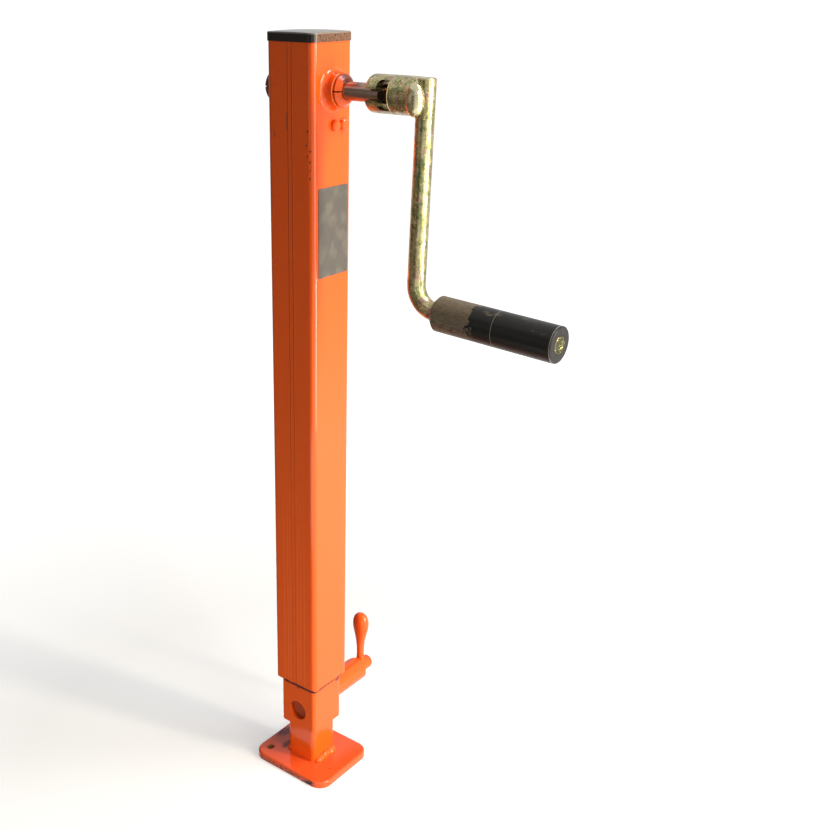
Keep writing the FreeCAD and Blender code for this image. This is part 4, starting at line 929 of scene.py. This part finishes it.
@dataclass
class WeldBead:
    """A welded bead whose ripples follow a path: one flattened drop of metal for each pitch. The
    grain is the size of the cells in which the drops melt together."""

    name: str
    body: str
    stands_for: str
    paths: list[list[Vector]]
    run: WeldPath
    finish: Finish
    record_slot: str
    drop_mm: float
    seed: int
    pitch_mm: float = 1.7
    flat: float = 0.55
    jitter: float = 0.12
    grain_mm: float = 0.45
    drop_level: int = 2

    def tree(self) -> Tree:
        """The ripple tree, with its sizes as named inputs.

        Returns:
            A geometry tree that turns a path's edges into ripples.
        """
        tree = bpy.data.node_groups.new("weld_ripples", "GeometryNodeTree")
        kinds = {
            "Path": "Geometry", "Pitch": "Float", "Drop": "Float", "Flatness": "Float",
            "Jitter": "Float", "Seed": "Int", "Finish": "Material",
        }
        for name, kind in kinds.items():
            tree.interface.new_socket(name, in_out="INPUT", socket_type="NodeSocket" + kind)
        tree.interface.new_socket("Bead", in_out="OUTPUT", socket_type="NodeSocketGeometry")
        given = add(tree, "NodeGroupInput")
        line = add(tree, "GeometryNodeMeshToCurve", {0: given["Path"]})[0]
        steps = add(
            tree, "GeometryNodeResampleCurve", {"Curve": line, "Length": given["Pitch"]},
            mode="LENGTH",
        )[0]
        tangent = add(tree, "GeometryNodeInputTangent")[0]
        along = add(tree, "FunctionNodeAlignRotationToVector", {"Vector": tangent}, axis="X")[0]
        drop = add(
            tree, "GeometryNodeMeshIcoSphere",
            {"Radius": given["Drop"], "Subdivisions": self.drop_level},
        )[0]
        low, high = (
            add(tree, "ShaderNodeMath", {0: 1.0, 1: given["Jitter"]}, operation=way)[0]
            for way in ("SUBTRACT", "ADD")
        )
        size = add(
            tree, "FunctionNodeRandomValue", {"Min": low, "Max": high, "Seed": given["Seed"]},
            data_type="FLOAT_VECTOR",
        )[0]
        thin = add(tree, "ShaderNodeCombineXYZ", {"X": given["Flatness"], "Y": 1.0, "Z": 1.0})[0]
        scale = add(tree, "ShaderNodeVectorMath", {0: size, 1: thin}, operation="MULTIPLY")[0]
        ripples = add(
            tree, "GeometryNodeInstanceOnPoints",
            {"Points": steps, "Instance": drop, "Rotation": along, "Scale": scale},
        )[0]
        plain = add(tree, "GeometryNodeRealizeInstances", {0: ripples})[0]
        dressed = add(
            tree, "GeometryNodeSetMaterial", {"Geometry": plain, "Material": given["Finish"]}
        )[0]
        add(tree, "NodeGroupOutput", {"Bead": dressed})
        return tree

    def path_mesh(self) -> bpy.types.Mesh:
        """The paths as loose edges.

        Returns:
            A mesh without faces.
        """
        points: list[Vector] = []
        edges: list[tuple[int, int]] = []
        for path in self.paths:
            first = len(points)
            points += path
            edges += [(first + i, first + i + 1) for i in range(len(path) - 1)]
            if self.run is WeldPath.CLOSED:
                edges.append((first + len(path) - 1, first))
        mesh = bpy.data.meshes.new(self.name)
        mesh.from_pydata([tuple(p) for p in points], edges, [])
        return mesh

    def build(self) -> None:
        """Grows the bead, melts its ripples into one skin and puts it in the plain one's place."""
        path = put(self.name + "_path", self.path_mesh())
        tree = self.tree()
        ripples = path.modifiers.new("ripples", "NODES")
        ripples.node_group = tree
        sizes = {
            "Pitch": self.pitch_mm * MM, "Drop": self.drop_mm * MM, "Flatness": self.flat,
            "Jitter": self.jitter, "Seed": self.seed, "Finish": self.finish.material(),
        }
        for item in tree.interface.items_tree:
            if item.in_out == "INPUT" and item.name in sizes:
                ripples[item.identifier] = sizes[item.name]
        melt = path.modifiers.new("melt", "REMESH")
        melt.mode = "VOXEL"
        melt.voxel_size = self.grain_mm * MM
        melt.use_smooth_shade = True
        graph = bpy.context.evaluated_depsgraph_get()
        mesh = bpy.data.meshes.new_from_object(path.evaluated_get(graph))
        bpy.data.objects.remove(path)
        mesh.materials.clear()
        mesh.materials.append(self.finish.material())
        mesh.name = self.name
        stand_in(self.name, mesh, self.body, self.stands_for, self.record_slot)


@dataclass
class SubAssembly:
    """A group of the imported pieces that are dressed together."""

    nodes: dict[str, bpy.types.Object]

    def dress(self, finish: Finish, *names: str) -> None:
        """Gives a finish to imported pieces, whose shapes stay as they are and have one slot each.

        Args:
            finish: the finish.
            *names: the pieces.
        """
        for name in names:
            self.nodes[name].data.materials[0] = finish.material()
            LOG.info("dressed %s in %s", name, finish.name)


class OuterTube(SubAssembly):
    """The square outer tube, its plug, bushes, rivets and bare type plate."""

    def build(self) -> None:
        """Dresses the pieces."""
        self.dress(TUBE_ENAMEL, "outer_tube")
        self.dress(BUSH_ENAMEL, "bush_crank_side", "bush_far_side")
        self.dress(PLAIN_ENAMEL, "bearing_rivets")
        self.dress(CAP, "top_cap")
        self.dress(FILM, "type_plate")
        self.dress(STEEL, "bearing_plate")
        self.dress(HARD_STEEL, "thrust_washer_upper")


class LiftingDrive(SubAssembly):
    """The shaft, the bevel gears, the spindle and its bearing."""

    def build(self) -> None:
        """Dresses the pieces."""
        self.dress(SHAFT_STEEL, "drive_shaft")
        self.dress(BLACK_OXIDE, "crank_pin")
        self.dress(STEEL, "bevel_pinion", "bevel_wheel", "lifting_spindle", "spindle_stop")
        self.dress(
            HARD_STEEL, "shaft_circlip", "pinion_pin", "wheel_pin", "stop_pin",
            "thrust_washer_lower", "thrust_balls",
        )
        self.dress(BRASS, "ball_cage")


@dataclass
class InnerTube(SubAssembly):
    """The inner tube with its nut, and the lock's housing welded to it."""

    drop_mm: float = 3.1
    off_face_mm: float = 0.6
    corners: int = 48

    def housing_path(self) -> list[Vector]:
        """The circle just off the tube's face where the housing meets it.

        Returns:
            Its corners, in metres.
        """
        low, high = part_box("lock_housing")
        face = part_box("inner_tube")[1][1]
        middle = Vector(((low[0] + high[0]) / 2, face, (low[2] + high[2]) / 2))
        radius = (high[0] - low[0]) / 2
        off = self.off_face_mm * MM
        turns = [2 * math.pi * i / self.corners for i in range(self.corners)]
        return [middle + Vector((radius * math.cos(t), off, radius * math.sin(t))) for t in turns]

    def build(self) -> None:
        """Dresses the pieces and grows the bead."""
        self.dress(INNER_ENAMEL, "inner_tube")
        self.dress(PLAIN_ENAMEL, "lock_housing")
        self.dress(STEEL, "spindle_nut", "nut_dowels")
        self.dress(HARD_STEEL, "lock_spring")
        WeldBead(
            "housing_weld_bead", "inner", "housing_weld", [self.housing_path()], WeldPath.CLOSED,
            PLAIN_ENAMEL, "orange_paint", self.drop_mm, seed=11,
        ).build()


@dataclass
class DropLeg(SubAssembly):
    """The drop leg, its foot plate and the two welds between them, in long soft ripples."""

    drop_mm: float = 5.2
    off_corner_mm: float = 1.0
    end_inset: float = 0.5
    pitch_mm: float = 5.6
    flat: float = 1.35
    jitter: float = 0.13

    def side_path(self, side: float) -> list[Vector]:
        """The line just off the corner between one side of the leg and the plate.

        Args:
            side: 1 on the crank side and -1 on the far side.

        Returns:
            The line's two ends, in metres.
        """
        low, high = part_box("foot_welds")
        off = self.off_corner_mm * MM
        inset = self.drop_mm * MM * self.end_inset
        across = side * (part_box("drop_leg")[1][0] + off)
        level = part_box("foot_plate")[1][2] + off
        return [Vector((across, y, level)) for y in (low[1] + inset, high[1] - inset)]

    def build(self) -> None:
        """Dresses the pieces and grows the beads."""
        self.dress(LEG_ENAMEL, "drop_leg")
        self.dress(FOOT_ENAMEL, "foot_plate")
        WeldBead(
            "foot_weld_beads", "leg", "foot_welds", [self.side_path(1.0), self.side_path(-1.0)],
            WeldPath.OPEN, PLAIN_ENAMEL, "orange_paint", self.drop_mm, seed=5,
            pitch_mm=self.pitch_mm, flat=self.flat, jitter=self.jitter,
        ).build()


class Lock(SubAssembly):
    """The lock's pin, knuckle and lever."""

    def build(self) -> None:
        """Dresses the pieces."""
        self.dress(PLAIN_ENAMEL, "lock_pin", "lock_knuckle", "lock_lever")


@dataclass(frozen=True)
class Lens:
    """One bead between hub and rod: a rounded lens, by its middle and its half sizes."""

    middle_mm: Triple
    half_mm: Triple


@dataclass
class Crank(SubAssembly):
    """The crank's hub, arm, welds and grip."""

    # a long lens in front, a flatter one behind, and one on top that joins them
    lenses: tuple[Lens, ...] = (
        Lens((133.5, -11.4, 787.0), (9.5, 8.2, 15.6)),
        Lens((131.0, 11.0, 787.0), (7.5, 6.6, 13.0)),
        Lens((131.0, -1.0, 798.6), (7.5, 10.0, 8.6)),
    )
    lens_level: int = 5
    # the waves of their skin: height, distance, and how much they bow across the bead
    wave_mm: float = 0.06
    wave_pitch_mm: float = 3.1
    wave_bow: float = 0.6

    def skin_point(self, lens: Lens, out: Vector) -> Vector:
        """A point of a lens's skin, which runs in shallow waves from end to end.

        Args:
            lens: the lens.
            out: the point's direction from the middle, as on a ball of radius 1.

        Returns:
            The point, in metres.
        """
        wide, deep, tall = lens.half_mm
        along = out.z * tall + out.x * wide * self.wave_bow
        swell = 1 + self.wave_mm / deep * math.sin(2 * math.pi * along / self.wave_pitch_mm)
        parts = zip(lens.middle_mm, out, lens.half_mm, (swell, swell, 1))
        return Vector((middle + part * half * grown) * MM for middle, part, half, grown in parts)

    def welds(self) -> None:
        """Shapes the beads between hub and rod."""
        form = bmesh.new()
        for lens in self.lenses:
            ball = bmesh.ops.create_icosphere(form, subdivisions=self.lens_level, radius=1.0)
            for vert in ball["verts"]:
                vert.co = self.skin_point(lens, vert.co.normalized())
        mesh = bpy.data.meshes.new("crank_weld_beads")
        form.to_mesh(mesh)
        form.free()
        mesh.materials.append(WELD_ZINC.material())
        mesh.shade_smooth()
        stand_in("crank_weld_beads", mesh, "crank", "crank_welds", "zinc_plate")

    def build(self) -> None:
        """Dresses the pieces and shapes the beads."""
        self.dress(ZINC, "crank_arm")
        self.dress(HUB_ZINC, "crank_hub")
        self.dress(SHADED_CAP_ZINC, "grip_cap")
        self.dress(GRIP, "crank_grip")
        self.welds()


@dataclass(frozen=True)
class SoftBox:
    """One soft lamp that faces the object. Its place is a height, a distance from the jack's axis
    and an azimuth in degrees, from -Y towards +X. The size is its width and height."""

    name: str
    azimuth: float
    height: float
    away: float
    size: Pair
    watts: float
    aim: Triple = (0.0, 0.0, 0.42)
    colour: str = WHITE

    def build(self) -> None:
        """Hangs the lamp."""
        data = bpy.data.lights.new(self.name, "AREA")
        data.shape = "RECTANGLE"
        data.size, data.size_y = self.size
        data.energy = self.watts
        data.color = linear(self.colour)[:3]
        lamp = put(self.name, data)
        turn = math.radians(self.azimuth)
        lamp.location = (self.away * math.sin(turn), -self.away * math.cos(turn), self.height)
        towards = Vector(self.aim) - lamp.location
        lamp.rotation_euler = towards.to_track_quat("-Z", "Y").to_euler()


@dataclass
class Studio:
    """The pale floor, the soft light, the dark card that keeps gloss off one side, the camera."""

    # the camera: turned from -Y towards +X, tipped down, with the crop's shift
    yaw: float = math.radians(39.42)
    pitch: float = math.radians(20.51)
    place: Triple = (0.7363, -0.8795, 0.8951)
    lens_mm: float = 49.21
    sensor_mm: float = 36.0
    shift: Pair = (0.1145, -0.0221)
    # the floor: its own glow under the object and away from it, and where each begins
    floor_side: float = 30.0
    floor_level: float = -0.5 * MM
    floor_colour: str = "C8C8C8"
    floor_rough: float = 0.9
    floor_glow: Pair = (0.5, 0.95)
    floor_rings: Pair = (0.35, 1.1)
    ambient: float = 0.07
    # the card: its two ends in degrees, as a lamp's azimuth, its inner and outer ring, its rise
    card_turns: Pair = (22.0, -115.0)
    card_rings: Pair = (0.08, 0.95)
    card_low: float = MM
    card_high: float = 1.4
    card_panels: int = 12
    card_colour: str = "81776B"
    lamps: tuple[SoftBox, ...] = (
        SoftBox("key", azimuth=82, height=0.9, away=1.6, size=(0.85, 1.6), watts=20,
                colour="FFF3DC"),
        SoftBox("edge_strip", azimuth=103, height=0.75, away=1.4, size=(0.14, 1.5), watts=26,
                colour="FFF3DC"),
        SoftBox("back_top", azimuth=120, height=1.9, away=0.9, size=(0.5, 0.5), watts=15),
        SoftBox("low_fill", azimuth=10, height=0.12, away=0.55, size=(0.5, 0.2), watts=0.6,
                aim=(0.0, 0.0, 0.08)),
        SoftBox("low_side", azimuth=92, height=0.3, away=0.7, size=(0.4, 0.3), watts=1.6,
                aim=(0.0, 0.0, 0.12)),
        SoftBox("glint", azimuth=-20, height=0.85, away=1.2, size=(0.13, 0.6), watts=0.9,
                aim=(0.06, 0.0, 0.75)),
    )

    def camera(self) -> None:
        """Sets the camera where the photograph was taken from."""
        data = bpy.data.cameras.new("camera")
        data.lens = self.lens_mm
        data.sensor_width = self.sensor_mm
        data.shift_x, data.shift_y = self.shift
        camera = put("camera", data)
        camera.location = self.place
        camera.rotation_euler = (math.pi / 2 - self.pitch, 0, self.yaw)
        bpy.context.scene.camera = camera

    def seen_white(self, tree: Tree) -> Socket:
        """The rays that see the studio white: those of the camera, of gloss and of glass.

        Args:
            tree: the world's or the floor's tree.

        Returns:
            1 for such a ray and 0 for any other.
        """
        path = add(tree, "ShaderNodeLightPath")
        some = add(
            tree, "ShaderNodeMath", {0: path["Is Camera Ray"], 1: path["Is Glossy Ray"]},
            operation="MAXIMUM",
        )[0]
        return add(
            tree, "ShaderNodeMath", {0: some, 1: path["Is Transmission Ray"]}, operation="MAXIMUM"
        )[0]

    def world(self) -> None:
        """White where it is seen, and a low even light on everything."""
        world = bpy.data.worlds.new("studio")
        world.use_nodes = True
        tree = world.node_tree
        strength = add(
            tree, "ShaderNodeMix", {0: self.seen_white(tree), 2: self.ambient, 3: 1.0}
        )[0]
        feed(tree, tree.nodes["Background"], {"Color": linear(WHITE), "Strength": strength})
        bpy.context.scene.world = world

    def floor(self) -> None:
        """A pale floor that keeps the object's shadow and is white away from it."""
        half = self.floor_side / 2
        corners = ((-half, -half), (half, -half), (half, half), (-half, half))
        mesh = bpy.data.meshes.new("floor")
        mesh.from_pydata([(x, y, self.floor_level) for x, y in corners], [], [(0, 1, 2, 3)])
        material = bpy.data.materials.new("studio_floor")
        material.use_nodes = True
        tree = material.node_tree
        point = add(tree, "ShaderNodeTexCoord")["Object"]
        away = add(tree, "ShaderNodeVectorMath", {0: point}, operation="LENGTH")["Value"]
        near, far = self.floor_rings
        low, high = self.floor_glow
        glow = add(
            tree, "ShaderNodeMapRange",
            {"Value": away, "From Min": near, "From Max": far, "To Min": low, "To Max": high},
        )[0]
        lift = add(
            tree, "ShaderNodeMath", {0: self.seen_white(tree), 1: glow}, operation="MULTIPLY"
        )[0]
        feed(tree, tree.nodes["Principled BSDF"], {
            "Base Color": linear(self.floor_colour), "Roughness": self.floor_rough,
            "Emission Color": linear(WHITE), "Emission Strength": lift,
        })
        mesh.materials.append(material)
        put("floor", mesh)

    def card_mesh(self) -> bpy.types.Mesh:
        """The card's panels: each lies on the floor and then stands up.

        Returns:
            The mesh.
        """
        near, far = self.card_rings
        start, end = self.card_turns
        profile = ((near, self.card_low), (far, self.card_low), (far, self.card_high))
        row = len(profile)
        points, faces = [], []
        for i in range(self.card_panels + 1):
            turn = math.radians(start + (end - start) * i / self.card_panels)
            out = Vector((math.sin(turn), -math.cos(turn), 0))
            points += [tuple(out * away + Vector((0, 0, level))) for away, level in profile]
            if i:
                faces += [
                    (k - row, k, k + 1, k + 1 - row) for k in range(row * i, row * (i + 1) - 1)
                ]
        mesh = bpy.data.meshes.new("dark_card")
        mesh.from_pydata(points, [], faces)
        return mesh

    def card(self) -> None:
        """A dark card in an arc that only gloss sees: the sides towards it and the metal stay
        deep."""
        mesh = self.card_mesh()
        material = bpy.data.materials.new("dark_card_cloth")
        material.use_nodes = True
        tree = material.node_tree
        feed(tree, tree.nodes["Principled BSDF"], {
            "Base Color": linear("000000"), "Specular IOR Level": 0.0,
            "Emission Color": linear(self.card_colour), "Emission Strength": 1.0,
        })
        mesh.materials.append(material)
        card = put("dark_card", mesh)
        card.visible_camera = False
        card.visible_diffuse = False
        card.visible_transmission = False
        card.visible_shadow = False

    def build(self) -> None:
        """Sets everything up."""
        self.floor()
        self.world()
        self.card()
        for lamp in self.lamps:
            lamp.build()
        self.camera()
        bpy.context.scene.view_settings.view_transform = "Standard"


def main() -> None:
    """Loads the frame, dresses every sub-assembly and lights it."""
    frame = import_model()
    nodes = frame["nodes"]
    for group in (OuterTube, LiftingDrive, InnerTube, DropLeg, Lock, Crank):
        group(nodes).build()
        LOG.info("built %s", group.__name__)
    Studio().build()


if __name__ == "__main__":
    logging.basicConfig(level=logging.INFO, format="%(name)s: %(message)s")
    main()
